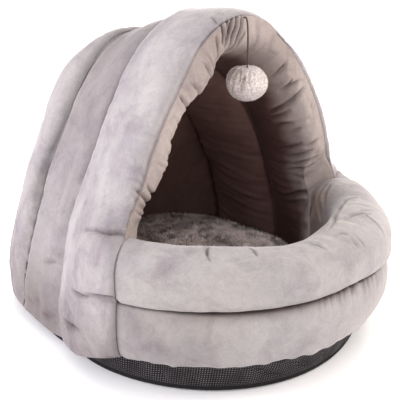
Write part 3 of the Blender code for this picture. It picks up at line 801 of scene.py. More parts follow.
# The tables below are read by marked(). Their fields: turn and place as above, side is the turn without
# its sign, inside is the place counted in the lining's panels, height is in metres, front and seam are
# mm behind the front seam and the nearest channel seam, first the same for the first one, high grows
# with the height, and channel is the strip behind the first seam.
COVER_MARKS = (             # mm outward
    # the channels, their stitched lines, and the ribs full in front of them
    (-2.5, ("seam", "at", 3.5, 8.5)),
    (-6.0, ("seam", "at", 3.5, 8.5), ("height", "from", 0.10, 0.26)),
    (-4.5, ("seam", "at", 3.5, 8.0), ("turn", "at", 0.0, 0.16)),
    (-0.7, ("seam", "at", 0.0, 2.2)),
    (-1.3, ("seam", "at", 0.0, 2.2), ("height", "from", 0.10, 0.26)),
    (1.2, ("seam", "at", -9.0, 8.0), ("place", "from", 3.5, 3.0)),
    (2.2, ("seam", "at", -9.0, 8.0), ("place", "from", 3.5, 3.0), ("height", "from", 0.10, 0.26)),
    # the front seam's line, and hollows behind the crown and right of the cord
    (-0.9, ("front", "at", 0.0, 2.0)),
    (-6.0, ("turn", "at", 0.0, 0.16), ("place", "at", 1.75, 0.45)),
    (-3.5, ("turn", "at", 0.17, 0.09), ("place", "at", 0.0, 0.6)),
    # the third rib, thin at its hips and full at its shoulders
    (-3.0, ("side", "at", 0.44, 0.12), ("place", "at", 2.6, 0.6)),
    (6.5, ("side", "at", 0.22, 0.16), ("place", "at", 2.5, 0.6)),
)
COVER_SHADES = (            # share of painted shade
    # painted shade in the seams, and painted shadow on the slope behind the first one
    (0.22, ("seam", "at", 0.0, 1.6)),
    (0.38, ("seam", "at", 0.0, 1.6), ("high",)),
    (0.40, ("front", "at", 0.0, 1.0)),
    (0.30, ("first", "at", 8.0, 9.0), ("high",)),
    # the pile lies another way on the second channel; painted shade darkens the foot and the crown
    (0.17, ("channel",)),
    (0.25, ("channel",), ("high",)),
    (0.45, ("height", "from", 0.12, 0.03)),
    (0.07, ("height", "from", 0.20, 0.10)),
    (0.22, ("turn", "at", 0.0, 0.14)),
)
LINING_SHADES = (
    # painted shade down behind the front rib, at the panels' seams, and under the crown
    (0.75, ("inside", "from", 0.15, 0.55)),
    (-0.75, ("inside", "from", 0.85, 1.05)),
    (0.80, ("seam", "at", 0.0, 3.5), ("inside", "from", 0.3, 0.6)),
    (0.35, ("turn", "at", 0.0, 0.25), ("inside", "from", 0.15, 0.4), ("inside", "from", 1.1, 0.9)),
    # painted shade down the right side to the rolls' end
    (0.22, ("turn", "from", 0.2, 0.4), ("inside", "from", 0.0, 0.3)),
    (0.30, ("turn", "from", 0.40, 0.60), ("inside", "from", 0.0, 0.15)),
    (0.22, ("turn", "from", 0.62, 0.72), ("inside", "from", 0.0, 0.15), ("inside", "from", 1.2, 0.9)),
)
FACING_SHADES = ((0.25, ("turn", "at", -0.17, 0.13)),)      # painted shade left of the crown's pleats
INNER_SHADES = ((0.28, ("turn", "at", 0.18, 0.11)),)        # painted shade right of them, on the lining too
CROWN_PLEATS = ((0.7,), (0.9, ("turn", "at", -0.045, 0.06)))    # how much painted shade the folds get, as a share
LIP_FULLNESS = (            # mm: the facing's cushions at the left
    (11.0, ("turn", "at", -0.195, 0.085)),
    (6.0, ("turn", "at", -0.45, 0.085)),
    (6.0, ("turn", "at", -0.64, 0.05)),
)


def cover_relief(points, fields, run):
    """How far the outer cloth stands out from the plain ribs, in metres."""
    along, place = fields["turn"] * run / 2.0, fields["place"]
    pull = np.exp(-np.abs(fields["seam"]) / 13.0) * (0.4 + 0.6 * ease(3.5, 3.0, place))
    relief = pull * wrinkles("channel", along, place) + marked(fields, COVER_MARKS)
    relief += np.exp(-fields["front"] / 10.0) * wrinkles("front seam", along)
    where = ease(0.25, -0.25, cloud(points, 0.09, 6))
    relief -= where * creases(cloud(points, (0.060, 0.045, 0.022), 5), 9.0)
    return relief * MM + clouds(points, ((2.0, 0.075, 1), (0.8, 0.028, 2)))


def lip_relief(points, t, turn, run):
    """The front edge's cloth, gathered between its seam (t = 1) and the lining (t = 0)."""
    along = turn * run / 2.0
    relief = np.sin(math.pi * t) * (wrinkles("facing", along, t) + cloud(points, 0.03, 12))
    loose = wrinkles("facing's edge", along) - 2.0 * creases(wrinkles("facing's creases", along, t), 4.0)
    return MM * (relief + (1.0 - t) * (loose + marked({"turn": turn}, LIP_FULLNESS)))


def lining_relief(points, inside, turn, run, seam):
    """The lining: loose and wrinkled across the front rib, calmer on the panels behind it."""
    slant = turn * run / 2.0 + 0.026 * inside + 0.010 * inside ** 2
    front = ease(1.1, 0.85, inside)
    busy = 0.35 + 0.65 * ease(-0.25, 0.30, cloud(points, 0.06, 22))
    body = front * busy * ease(0.0, 0.25, inside) * (1.0 - 0.85 * ease(0.45, 0.80, inside))
    loose = 10.0 * (np.sqrt(wrinkles("lining's rolls", slant, inside) ** 2 + 0.01) - 0.25)
    loose += wrinkles("lining", slant, inside)
    calm = wrinkles("inner panels", slant, inside) + wrinkles("inner panels, fine", slant, inside)
    relief = body * loose + (1.0 - front) * calm - 1.8 * near(seam, 3.0)
    return MM * relief + clouds(points, ((2.2, 0.05, 21),))


def hood_grid():
    """The hood's rings from the lining's back over the front edge to the cover's back."""
    places = [0.0]
    for rib, count in enumerate(RIB_RINGS):
        places += [rib + (1.0 - math.cos(math.pi * k / count)) / 2.0 for k in range(1, count + 1)]
    shares = [math.cos(math.pi / 2 * k / (BACK_RINGS + 1)) for k in range(1, BACK_RINGS + 1)]
    furthest = PLAN_Y + BACK_REACH
    outer = np.array([outer_ring(p) for p in places]
                     + [back_ring(s, SEAMS, furthest, BACK_FOOT) for s in shares])
    inner = np.array([inner_ring(p) for p in places]
                     + [back_ring(s, LINING, LINING_BACK, SILL_Z) for s in shares])
    steps = np.linspace(0.0, 1.0, LIP_RINGS + 2)[1:-1]
    lip = np.array([lip_ring(inner[0], outer[0], t) for t in steps])
    return places, shares, inner, lip, outer, steps


EDGE_RINGS = 20             # rings of the lining that are rounded with the front edge
EDGE_STEPS = 140
TRACE_RINGS = 9             # rings on each side of the plain first seam that are evened over
TRACE_STEPS = 90
SLIDES = (                  # rings that the front seam slides, then the turns where it begins and ends
    (6.5, (-0.10, -0.30), (-0.70, -0.60)),
    (4.6, (0.09, 0.16), (0.68, 0.58)),
)


def evened(grid, first, last, free, steps):
    """The rings from first to last drawn towards their neighbours, as far as they are free."""
    for _ in range(steps):
        block = (grid[first - 1:last - 1] + 2.0 * grid[first:last] + grid[first + 1:last + 1]) / 4.0
        grid[first:last] = mix(grid[first:last], block, free[..., None])
    return grid


def rounded_edge(grid, count):
    """The front edge rounded over where the facing turns into the lining, above the rolls."""
    first, last = count - EDGE_RINGS, count + LIP_RINGS - 2
    return evened(grid, first, last, ease(SILL_TOP, SILL_TOP + 0.02, grid[first:last, :, 2]), EDGE_STEPS)


def seam_moved(grid, count):
    """The front seam's ring, and those beside it, slid along the cloth towards the opening."""
    turn, rows = arch_turns(), np.arange(len(grid))[:, None]
    rings = sum(slide * ease(*begin, turn) * ease(*end, turn) for slide, begin, end in SLIDES)
    wanted = rows - rings * near(rows - (len(grid) - count), 9.0)
    first = np.clip(wanted.astype(int), 0, len(grid) - 2)
    column = np.arange(len(turn))[None, :]
    return mix(grid[first, column], grid[first + 1, column], (wanted - first)[..., None])


def base_reach(share):
    return dict(zip(BASE_COLUMNS, (mix(a, b, share) for a, b in zip(BASE_FOOT, BASE_TOP))))


def rim_share(points):
    """How far out points lie, where 1 is the bottom's upper edge with the rim's clearance."""
    reach = base_reach(1.0)
    behind = points[..., 1] > PLAN_Y
    side = np.where(behind, reach["back"], reach["front"]) + RIM_CLEAR
    power = np.where(behind, BASE_SQUARENESS, 2.0)
    across = np.abs(points[..., 0] - reach["shift"]) / (reach["half"] + RIM_CLEAR)
    return (across ** power + (np.abs(points[..., 1] - PLAN_Y) / side) ** power) ** (1.0 / power)


def kept_outside(points, place):
    """The cover's foot moved out, where a valley would bring it inside the bottom's upper edge."""
    low = ease(SILL_Z + 0.016, SILL_Z + 0.003, points[..., 2]) * ease(0.1, 0.4, place)
    grow = 1.0 + (np.maximum(1.0, RIM_OVER / rim_share(points)) - 1.0) * low
    middle = np.array([BASE_TOP[-1], PLAN_Y])
    points[..., :2] = middle + (points[..., :2] - middle) * grow[..., None]
    return points


def cover_fields(outer, place, turn, seam_rows):
    """The fields of the cover's tables, and how much the moved seams change its swelling."""
    front, z = lengths(outer, 0), outer[..., 2]
    gaps = np.array([front - front[row] for row in seam_rows])
    ahead = np.array([seam_ahead(turn, *row) for row in SEAM_AHEAD])
    moved = (pinch(gaps) - pinch(gaps + ahead)).sum(axis=0)
    gaps += ahead
    seam = np.take_along_axis(gaps, np.abs(gaps).argmin(axis=0)[None], axis=0)[0]
    high = ease(0.06, 0.30, z)
    channel = ease(-3 * MM, mix(26.0, 9.0, high) * MM, gaps[0]) * ease(4 * MM, -10 * MM, gaps[1])
    fields = {"turn": turn, "side": np.abs(turn), "place": place, "height": z, "front": front / MM,
              "seam": seam / MM, "first": gaps[0] / MM, "high": high, "channel": channel}
    return fields, SEAMS[1][-1] * fullness(z) * moved


@functools.lru_cache(maxsize=1)
def relieved_hood():
    """The hood's rings with all their relief, the shares of painted depth shade and of painted crease shade,
    and the cover's rings.
    """
    places, shares, inner, lip, outer, steps = hood_grid()
    count = len(outer)
    grid = seam_moved(rounded_edge(np.concatenate([inner[::-1], lip, outer]), count), count)
    normals = grid_normals(grid)
    turn = np.broadcast_to(arch_turns(), outer.shape[:2])
    cover_places = np.array(places + [3.0 + 0.9 * (1.0 - s) for s in shares])
    lining_places = np.array([lining_place(p) for p in places] + [2.0 + 0.9 * (1.0 - s) for s in shares])
    place = np.broadcast_to(cover_places[:, None], turn.shape)
    inside = np.broadcast_to(lining_places[:, None], turn.shape)

    seam_rows = [places.index(float(k)) for k in range(1, len(SEAMS))]
    fields, moved = cover_fields(outer, place, turn, seam_rows)
    relief_out = moved + cover_relief(outer, fields, lengths(outer, 1)[:, -1:])
    across = lengths(inner, 0)
    seam = np.min([np.abs(across - across[seam_rows[k]]) for k in (0, 2)], axis=0) / MM
    run, edge_run = lengths(inner, 1)[:, -1:], lengths(outer[:1], 1)[0, -1:]
    t = np.broadcast_to(steps[:, None], lip.shape[:2])
    relief_lip = lip_relief(lip, t, turn[:len(steps)], edge_run)
    # the lip takes over from its neighbours without a step
    relief_in = lining_relief(inner, inside, turn, run, seam) * ease(-0.02, 0.10, inside)
    relief_in += ease(0.45, 0.0, inside) * lip_relief(inner, np.zeros(turn.shape), turn, edge_run)
    rows = np.concatenate([-1.0 - lining_places[::-1], steps - 1.0, cover_places])
    depth, closed = folded(grid, rows, turn[0], HOOD_FOLDS)
    relief = np.concatenate([relief_in[::-1], relief_lip, relief_out]) - depth

    # painted shade: the folds' darkening scaled, then more at seams, foot, crown, deep in the lining and
    # beside the pleats
    closed[:-count] *= marked({"turn": turn[0]}, CROWN_PLEATS)
    closed[-count:] += marked(fields, COVER_SHADES)
    closed[:count] += marked({"turn": turn, "inside": inside, "seam": seam}, LINING_SHADES)[::-1]
    closed[count:-count] += marked({"turn": turn[0]}, FACING_SHADES)
    closed[:-count] += marked({"turn": turn[0]}, INNER_SHADES)
    # painted shade, darker deeper inside the lining
    shade = np.zeros(grid.shape[:2])
    shade[:count] = ease(0.0, 0.6, inside[::-1])

    # cloth against the rolls' ends and along the foot stays where the part has it
    z = grid[..., 2]
    joint = [ease(0.12, 0.0, inside[::-1]), np.ones(lip.shape[:2]), ease(0.05, 0.0, place)]
    held = np.concatenate(joint) * ease(SILL_TOP + 0.012, SILL_TOP - 0.006, z)
    foot = ease(0.010, 0.0, z - np.minimum(grid[:, :1, 2], grid[:, -1:, 2]))
    relief *= (1.0 - held) * (1.0 - 0.8 * foot)
    lifted = ease(0.07, 0.02, z[-count:]) * ease(0.0, 0.25, place) * ease(1.3, 0.8, place)
    grid = grid + normals * relief[..., None]
    grid[-count:, :, 2] += FOOT_LIFT * lifted
    # no trace stays of the plain ribs' first seam where the real one runs ahead of it
    row = len(grid) - count + seam_rows[0]
    free = ease(6 * MM, 12 * MM, seam_ahead(turn[:1], *SEAM_AHEAD[0]))
    evened(grid, row - TRACE_RINGS, row + TRACE_RINGS + 1, free, TRACE_STEPS)
    grid[-count:] = kept_outside(grid[-count:], place)
    return grid, shade, np.minimum(closed, 1.0), count


def rim_rows(inner, outer):
    """Two rows of points between feet of the lining and of the cover, clear of the bottom's rim."""
    low, high = np.zeros((len(inner), 1)), np.ones((len(inner), 1))
    for _ in range(24):
        share = (low + high) / 2.0
        past = rim_share(mix(outer, inner, share))[:, None] > 1.0
        low, high = np.where(past, share, low), np.where(past, high, share)
    rim = mix(outer, inner, low)[:, :2]
    return [np.concatenate([rim, feet[:, 2:]], axis=-1) for feet in (inner, outer)]


def cover_mesh(grid, count):
    """The outer cloth, from the front seam to the back, with the strip under its foot."""
    width = ARCH_STEPS + 1
    outer = grid[-count:]
    faces = grid_faces(count, width)
    pole, last = count * width, (count - 1) * width
    faces += [(pole, last + j, last + j + 1) for j in range(ARCH_STEPS)]
    back = np.array([(0.0, PLAN_Y + BACK_REACH - TUCK, BACK_FOOT)])
    middle = np.array([(0.0, LINING_BACK, SILL_Z)])
    blocks = [outer.reshape(-1, 3), back, middle, *rim_rows(middle, back)]
    at = np.arange(count)
    for side in (0, ARCH_STEPS):
        feet, first = grid[:count, side], sum(len(block) for block in blocks)
        blocks += [feet, *rim_rows(feet, outer[::-1, side])]
        own = [first + k * count + at for k in range(3)]
        chains = parts(*own, (count - 1 - at) * width + side).tolist()
        flip = -1 if side == 0 else 1
        for rear, front in zip([[pole + 1, pole + 2, pole + 3, pole], *chains], chains):
            faces += [(rear[a], rear[a + 1], front[a + 1], front[a])[::flip] for a in range(3)]
    return np.concatenate(blocks), faces


def lining_mesh(grid, marks, count):
    """The lining from its back to the front edge, with the facing that ends at the front seam."""
    width = ARCH_STEPS + 1
    rings = len(grid) - count + 1
    points = grid[:rings].reshape(-1, 3).tolist()
    faces = grid_faces(rings, width)
    points.append((0.0, LINING_BACK, SILL_Z))
    faces += [(len(points) - 1, j + 1, j) for j in range(ARCH_STEPS)]
    marks = {name: np.append(values[:rings].ravel(), values[0, 0]) for name, values in marks.items()}
    return points, faces, marks


# ---- the sill --------------------------------------------
def sill_section():
    """(depth, height) round the rolls, evenly spread, counter-clockwise from the outer foot."""
    face_z = np.linspace(SILL_Z, UPPER_ROLL_Z, 160)[:-1]
    face = parts(sill_depth(face_z), face_z)
    angle = np.linspace(0.0, math.pi, 120)
    reach = np.where(angle < math.pi / 2, SILL_CREST, SILL_THICK - SILL_CREST)
    top = parts(SILL_CREST - reach * np.cos(angle),
                UPPER_ROLL_Z + (SILL_TOP - UPPER_ROLL_Z) * np.sin(angle))
    line = np.concatenate([face, top, np.array(SILL_INSIDE), face[:1]])
    # points lie closest at the channel seam, further apart inside and furthest on the underside
    middle = (line[1:] + line[:-1]) / 2.0
    shown = middle[:, 0] < SILL_THICK * 0.8
    weight = np.where(shown, 1.0 + 2.2 * near(middle[:, 1] - GROOVE_Z, 10 * MM), 0.75)
    weight = np.where(middle[:, 1] <= SILL_Z, 0.3, weight)
    steps = np.linalg.norm(np.diff(line, axis=0), axis=-1)
    run = np.concatenate([[0.0], np.cumsum(steps * weight)])
    wanted = np.linspace(0.0, run[-1], SILL_AROUND + 1)[:-1]
    return sampled(line, run, wanted)


# Creases on the rolls: (depth mm, width mm, then marks of (angle in degrees round the front, positive
# to the right, length in mm up the section from the outer foot)).
SILL_FOLDS = (
    (6.0, 3.0, (48.7, 156), (45.1, 170), (38.5, 178), (25.9, 181), (8.1, 164)),
    (5.5, 2.8, (30.9, 141), (26.9, 149), (23.3, 156), (17.8, 160)),
    (2.2, 2.0, (37.0, 138), (33.0, 148), (28.9, 158)),
    (2.4, 2.0, (26.9, 148), (25.4, 133), (23.3, 114)),
    (2.4, 1.6, (8.1, 139), (7.1, 147), (3.6, 150)),
    (2.6, 1.6, (-5.8, 155), (-4.6, 145), (-4.0, 136)),
    (2.0, 1.5, (-4.1, 153), (-2.6, 145)),
    (2.0, 1.9, (9.6, 134), (9.1, 118)),
    (1.6, 1.9, (7.1, 133), (6.1, 120)),
    (7.0, 4.0, (68.5, 196), (70.5, 216), (70.0, 226)),
    (6.0, 3.5, (65.9, 178), (62.9, 201), (56.8, 219)),
    (5.0, 3.0, (64.4, 173), (60.9, 186), (52.0, 205)),
    (4.4, 2.3, (-41.3, 164), (-42.5, 155), (-42.8, 142)),
    (2.8, 2.0, (-43.3, 152), (-42.6, 132)),
    (3.4, 1.8, (-28.7, 160), (-27.6, 150), (-28.0, 140)),
    (3.0, 3.0, (12.2, 70), (18.8, 71)),
)


GROOVE_MARKS = (            # mm inward; gap is mm above the channel seam
    (5.0, ("gap", "at", 0.0, 3.2)),
    (8.0, ("gap", "at", 0.0, 3.2), ("angle", "at", -0.50, 0.75)),
    (-2.4, ("gap", "at", 9.0, 7.0)),
    (1.2, ("gap", "at", -8.0, 6.0)),
)


def pressed(depth, height, angle, outer):
    """The section drawn in at the channel seam, with the upper roll swollen over the lower one."""
    gap = (height - GROOVE_Z) / MM
    pinch = near(gap, 7.5) * outer
    drawn = marked({"gap": gap, "angle": angle}, GROOVE_MARKS)
    return depth + outer * drawn * MM, height - (2.0 + 0.8 * gap) * pinch * MM


def sill_relief(points, angle, around, height):
    """How far the rolls' cloth stands out from their plain shape, in metres."""
    along, gap = angle * SILL_HALF, (height - GROOVE_Z) / MM
    outer = around < SILL_SHOWN
    relief = 1.8 * cloud(points, 0.07, 31) + 0.6 * cloud(points, 0.025, 32)
    gathers = mix(0.6, 6.5, near(angle - 0.08, 0.28)) * wrinkles("gathers", along, around)
    relief += np.where(outer & (gap < 0.0), np.exp(-np.abs(gap) / 11.0), 0.0) * gathers
    relief += np.where(outer & (gap > 0.0), np.exp(-np.abs(gap) / 8.0), 0.0) * wrinkles("upper roll", along)
    relief *= 1.0 - 0.9 * near(gap, 3.0) * outer
    hem = np.where(outer, np.exp(-(height - SILL_Z) / (9 * MM)), 0.0)
    relief += hem * (wrinkles("hem", along) + wrinkles("hem, fine", along))
    crest = wrinkles("crest, fine", along, around) + wrinkles("crest", along)
    return MM * (relief + crest * near(around - 0.150, 0.016))


# Fields: angle round the front in radians, gap in mm above the channel seam, groove is the painted shade
# along the seam, front is 1 a little left of the middle, and puckers are the valleys of the lower roll's
# gathers.
SILL_SHADES = (             # share of painted shade
    (1.0, ("groove",)),
    (0.8, ("front",), ("gap", "at", -4.0, 6.0)),
    (0.6, ("puckers",), ("angle", "at", 0.08, 0.26), ("gap", "at", -8.0, 7.0)),
)


def sill_mesh():
    """The two rolls' skin with its shares of painted crease shade and of painted depth shade."""
    section = sill_section()
    plain = lengths(section, 0)
    share = np.linspace(-1.0, 1.0, SILL_STATIONS + 1)[:, None]
    share, around = np.broadcast_arrays(share, plain[None, :])
    angle, turn = share * SILL_RUN, share * JOINT_TURN
    height = np.broadcast_to(section[None, :, 1], share.shape)
    outer, end = around < SILL_SHOWN, 1.0 - np.abs(share)
    held = ease(0.0, 0.03, end)
    depth, level = pressed(section[None, :, 0], height, angle, outer * (0.35 + 0.65 * held))
    x = SILL_HALF * np.sin(angle) - depth * np.sin(turn)
    y = PLAN_Y - SILL_FRONT * np.cos(angle) + depth * np.cos(turn)
    grid = slumped(parts(x, y, level))
    pressed_in, closed = folded(grid, np.degrees(angle[:, 0]), plain / MM, SILL_FOLDS)
    relief = sill_relief(grid, angle, around, height) - pressed_in
    # the underside and the end faces stay as they are, with the ends a little inside the hood
    relief = np.where(height < SILL_Z + 0.002, 0.0, relief * ease(0.0, 0.015, end))
    relief -= ease(0.014, 0.0, end) * 0.6 * MM
    # stations run left to right, so the rings turn the other way from the hood's
    grid = grid - grid_normals(grid, closed=True) * relief[..., None]
    grid[..., 2] = np.maximum(grid[..., 2], SILL_Z)
    # the filling has sunk right of the middle, and stands up against the hood at the right end
    degrees = np.degrees(angle)
    sunk = 5.5 * ease(50.0, 66.0, degrees) - 11.0 * near(degrees + 6.0, 21.0)
    grid[..., 2] += ease(GROOVE_Z, SILL_TOP, height) * sunk * MM
    # the hem hangs in shallow scallops over the bottom's band
    hem = np.exp(-(height - SILL_Z) / (7 * MM)) * (around < 0.05) * held
    grid[..., 2] -= hem * 6.5 * MM * np.maximum(0.0, wrinkles("scallops", angle * SILL_HALF) + 0.15)
    gap, front = (height - GROOVE_Z) / MM, near(angle + 0.35, 0.55)
    puckers = creases(wrinkles("gathers", angle * SILL_HALF, around), 3.0)
    fields = {"angle": angle, "gap": gap, "front": front, "puckers": puckers,
              "groove": near(gap, mix(3.0, 5.0, front))}
    # painted shade on the lower roll's left end, below the channel seam
    left_low_shade = 0.22 * ease(-28.0, -50.0, degrees) * ease(0.0, -12.0, gap)
    closed = np.minimum(1.0, closed + outer * marked(fields, SILL_SHADES) + left_low_shade)
    # painted shade, warm, on the inner side of the rolls' right end beside the hood
    inside = ease(46.0, 66.0, degrees) * ease(0.160, 0.200, around)
    rings, width = grid.shape[:2]
    faces = [face[::-1] for face in grid_faces(rings, width, closed=True)]
    faces.append(tuple(range(width)))
    faces.append(tuple((rings - 1) * width + j for j in reversed(range(width))))
    return grid.reshape(-1, 3), faces, {"painted_shade_and_pile_lay": closed.ravel(), "inside": inside.ravel()}


# ---- the bottom ------------------------------------------
def outline(angle, share):
    """The bottom's outline at a share from foot to top, angle 0 at +X, a quarter turn at the back."""
    reach = base_reach(share)
    across, along = np.cos(angle), np.sin(angle)
    behind = along > 0.0
    x = np.where(behind, squared(across, BASE_SQUARENESS), across) * reach["half"] + reach["shift"]
    y = np.where(behind, squared(along, BASE_SQUARENESS) * reach["back"], along * reach["front"])
    return parts(x, y + PLAN_Y)


BAND_ROWS = (               # (height, share from foot to top, how far in) up the band
    (0.0000, 0.0, 0.0060), (0.0002, 0.0, 0.0035), (0.0010, 0.0, 0.0012), (0.0022, 0.0, 0.0),
    (0.0036, 0.02, 0.0004), (0.0048, 0.05, 0.0016), (0.0058, 0.10, 0.0016), (0.0080, 0.20, 0.0006),
    (0.0110, 0.32, 0.0), (0.0145, 0.45, 0.0), (0.0180, 0.58, 0.0), (0.0215, 0.70, 0.0),
    (0.0250, 0.80, 0.0), (0.0285, 0.90, 0.0), (0.0320, 1.0, 0.0), (0.0345, 1.0, 0.0008),
    (BASE_HEIGHT, 1.0, 0.0030),
)


def base_mesh():
    """The bottom's skin and, for each point of its band, the cloth's length round it and up it."""
    angle = np.linspace(0.0, 2.0 * math.pi, BAND_AROUND, endpoint=False)
    run = lengths(outline(angle, 0.0), 0)
    rings = []
    for z, share, inset in BAND_ROWS:
        ring = outline(angle, share)
        tangent = np.roll(ring, -1, axis=0) - np.roll(ring, 1, axis=0)
        outward = unit(parts(tangent[:, 1], -tangent[:, 0]))
        up = z / BASE_HEIGHT
        loose = math.sin(math.pi * min(1.0, max(0.0, (z - 0.005) / 0.031)))
        gather = wrinkles("band, fine", run, up) * (0.3 + loose)
        gather += wrinkles("band", run + 14 * MM * up, up) * loose
        gather -= 3.4 * creases(wrinkles("band's creases", run + 22 * MM * up, up), 4.0) * loose
        if z < PIPING_TOP[1]:
            gather *= 0.35
        drawn = (5.0 * near(angle - 5.15, 0.45) + 4.5 * near(angle - 3.55, 0.55)) * (1.0 - 0.6 * up)
        ring = ring + outward * ((gather - drawn) * MM - inset)[:, None]
        rings.append(np.concatenate([ring, np.full((BAND_AROUND, 1), z)], axis=-1))
    points, faces = capped(rings, (0.0, 0.0, 0.0), (0.0, 0.0, BASE_HEIGHT))
    heights = np.repeat([row[0] for row in BAND_ROWS], BAND_AROUND)
    return points, faces, parts(np.tile(run, len(rings)), heights)


def lay_cloth(mesh, flat):
    """The map of the cloth in metres: round the band and up it, and the plan on the lids."""
    layer = mesh.uv_layers.new(name="cloth")
    total = len(flat)
    for polygon in mesh.polygons:
        lid = abs(polygon.normal.z) > 0.95
        loops = list(polygon.loop_indices)
        values = []
        for loop in loops:
            index = mesh.loops[loop].vertex_index
            point = mesh.vertices[index].co
            values.append((point.x, point.y) if lid or index >= total else tuple(flat[index]))
        if not lid and max(v[0] for v in values) - min(v[0] for v in values) > 0.5:
            longest = max(v[0] for v in values)
            values = [(v[0] + longest if v[0] < 0.1 else v[0], v[1]) for v in values]
        for loop, value in zip(loops, values):
            layer.data[loop].uv = value


# ---- pile ------------------------------------------------
PILE_LEAN = 0.9             # how far the pile leans the way it is combed, and how far each lock strays
PILE_SCATTER = 0.35


def pile(mesh, count, length, width, seed, above=-1.0):
    """Locks of pile as thin closed spikes spread over a mesh where it faces up more than above."""
    picks = np.random.RandomState(seed)
    mesh.calc_loop_triangles()
    triangles = np.empty(len(mesh.loop_triangles) * 3, dtype=np.int64)
    mesh.loop_triangles.foreach_get("vertices", triangles)
    a, b, c = np.moveaxis(mesh_vectors(mesh)[triangles.reshape(-1, 3)], 1, 0)
    normal = np.cross(b - a, c - a)
    area = np.linalg.norm(normal, axis=-1)
    normal /= np.maximum(area[:, None], 1e-12)
    weight = np.where(normal[:, 2] > above, area, 0.0)
    chosen = picks.choice(len(weight), count, p=weight / weight.sum())
    u, v = picks.rand(2, count, 1)
    u, v = np.where(u + v > 1.0, 1.0 - u, u), np.where(u + v > 1.0, 1.0 - v, v)
    root = a[chosen] + u * (b - a)[chosen] + v * (c - a)[chosen]
    up = normal[chosen]
    comb = parts(*(cloud(root, 0.030, seed + k) for k in (1.3, 2.7, 4.1))) * 2.2
    comb -= up * np.sum(comb * up, axis=-1, keepdims=True)
    way = unit(up + PILE_LEAN * comb + PILE_SCATTER * picks.randn(count, 3))
    side = unit(np.cross(way, picks.randn(count, 3)))
    other = np.cross(way, side)
    size = width * (0.6 + 0.8 * picks.rand(count, 1))
    tall = length * (0.55 + 0.6 * picks.rand(count, 1))
    foot = root - way * width
    spikes = [foot + size * (side * math.cos(t) + other * math.sin(t)) for t in (0.0, 2.1, 4.2)]
    points = np.stack([*spikes, root + way * tall], axis=1).reshape(-1, 3)
    spike = ((0, 1, 3), (1, 2, 3), (2, 0, 3), (0, 2, 1))
    return points, [tuple(4 * k + corner for corner in face) for k in range(count) for face in spike]


# ---- the cushion -----------------------------------------
def cushion_blank():
    """The unfilled cushion: a low rounded form a little inside its final size."""
    middle, half_y = (CUSHION_FRONT + CUSHION_BACK) / 2.0, (CUSHION_BACK - CUSHION_FRONT) / 2.0
    angle = np.linspace(0.0, 2.0 * math.pi, CUSHION_AROUND, endpoint=False)
    plan = parts(CUSHION_HALF * squared(np.cos(angle), CUSHION_SQUARENESS),
                 half_y * squared(np.sin(angle), CUSHION_SQUARENESS))
    rows = list(CUSHION_RIM)
    for k in range(1, CUSHION_RINGS):
        share, side = 1.0 - k / CUSHION_RINGS, CUSHION_RIM[-1][1]
        rows.append((0.955 * share, side + CUSHION_CROWN * (1.0 - share ** 2.0)))
    rings = [[(x, middle + y, SILL_Z + height) for x, y in plan * share] for share, height in rows]
    return capped(rings, (0.0, middle, SILL_Z + 0.0012), (0.0, middle, SILL_Z + 0.0325))


def apply_modifiers(made):
    """The piece's modifiers turned into its mesh."""
    graph = bpy.context.evaluated_depsgraph_get()
    made.data = bpy.data.meshes.new_from_object(made.evaluated_get(graph))
    made.modifiers.clear()


def fill_with_air(made, pressure, reach, frames=20):
    """A cloth simulation that swells a piece, with no point moving further than reach."""
    remesh = made.modifiers.new("even mesh", "REMESH")
    remesh.mode = "VOXEL"
    remesh.voxel_size = 6 * MM
    apply_modifiers(made)
    start = mesh_vectors(made.data)
    cloth = made.modifiers.new("filling", "CLOTH")
    cloth.settings.use_pressure = True
    cloth.settings.uniform_pressure_force = pressure
    cloth.settings.effector_weights.gravity = 0.0
    cloth.settings.quality = 5
    cloth.point_cache.frame_start, cloth.point_cache.frame_end = 1, frames
    scene = bpy.context.scene
    for step in range(1, frames + 1):
        scene.frame_set(step)
    apply_modifiers(made)
    scene.frame_set(1)
    move = mesh_vectors(made.data) - start
    size = np.linalg.norm(move, axis=-1, keepdims=True)
    end = start + move * np.minimum(1.0, reach / np.maximum(size, 1e-9))
    end[:, 2] = np.clip(end[:, 2], SILL_Z + 0.0006, CUSHION_TOP)
    move_points(made.data, end)


def fluff(mesh, rows):
    """The mesh's points moved along their normals by a table's clouds."""
    points = mesh_vectors(mesh)
    move_points(mesh, points + mesh_vectors(mesh, "normal") * clouds(points, rows)[:, None])


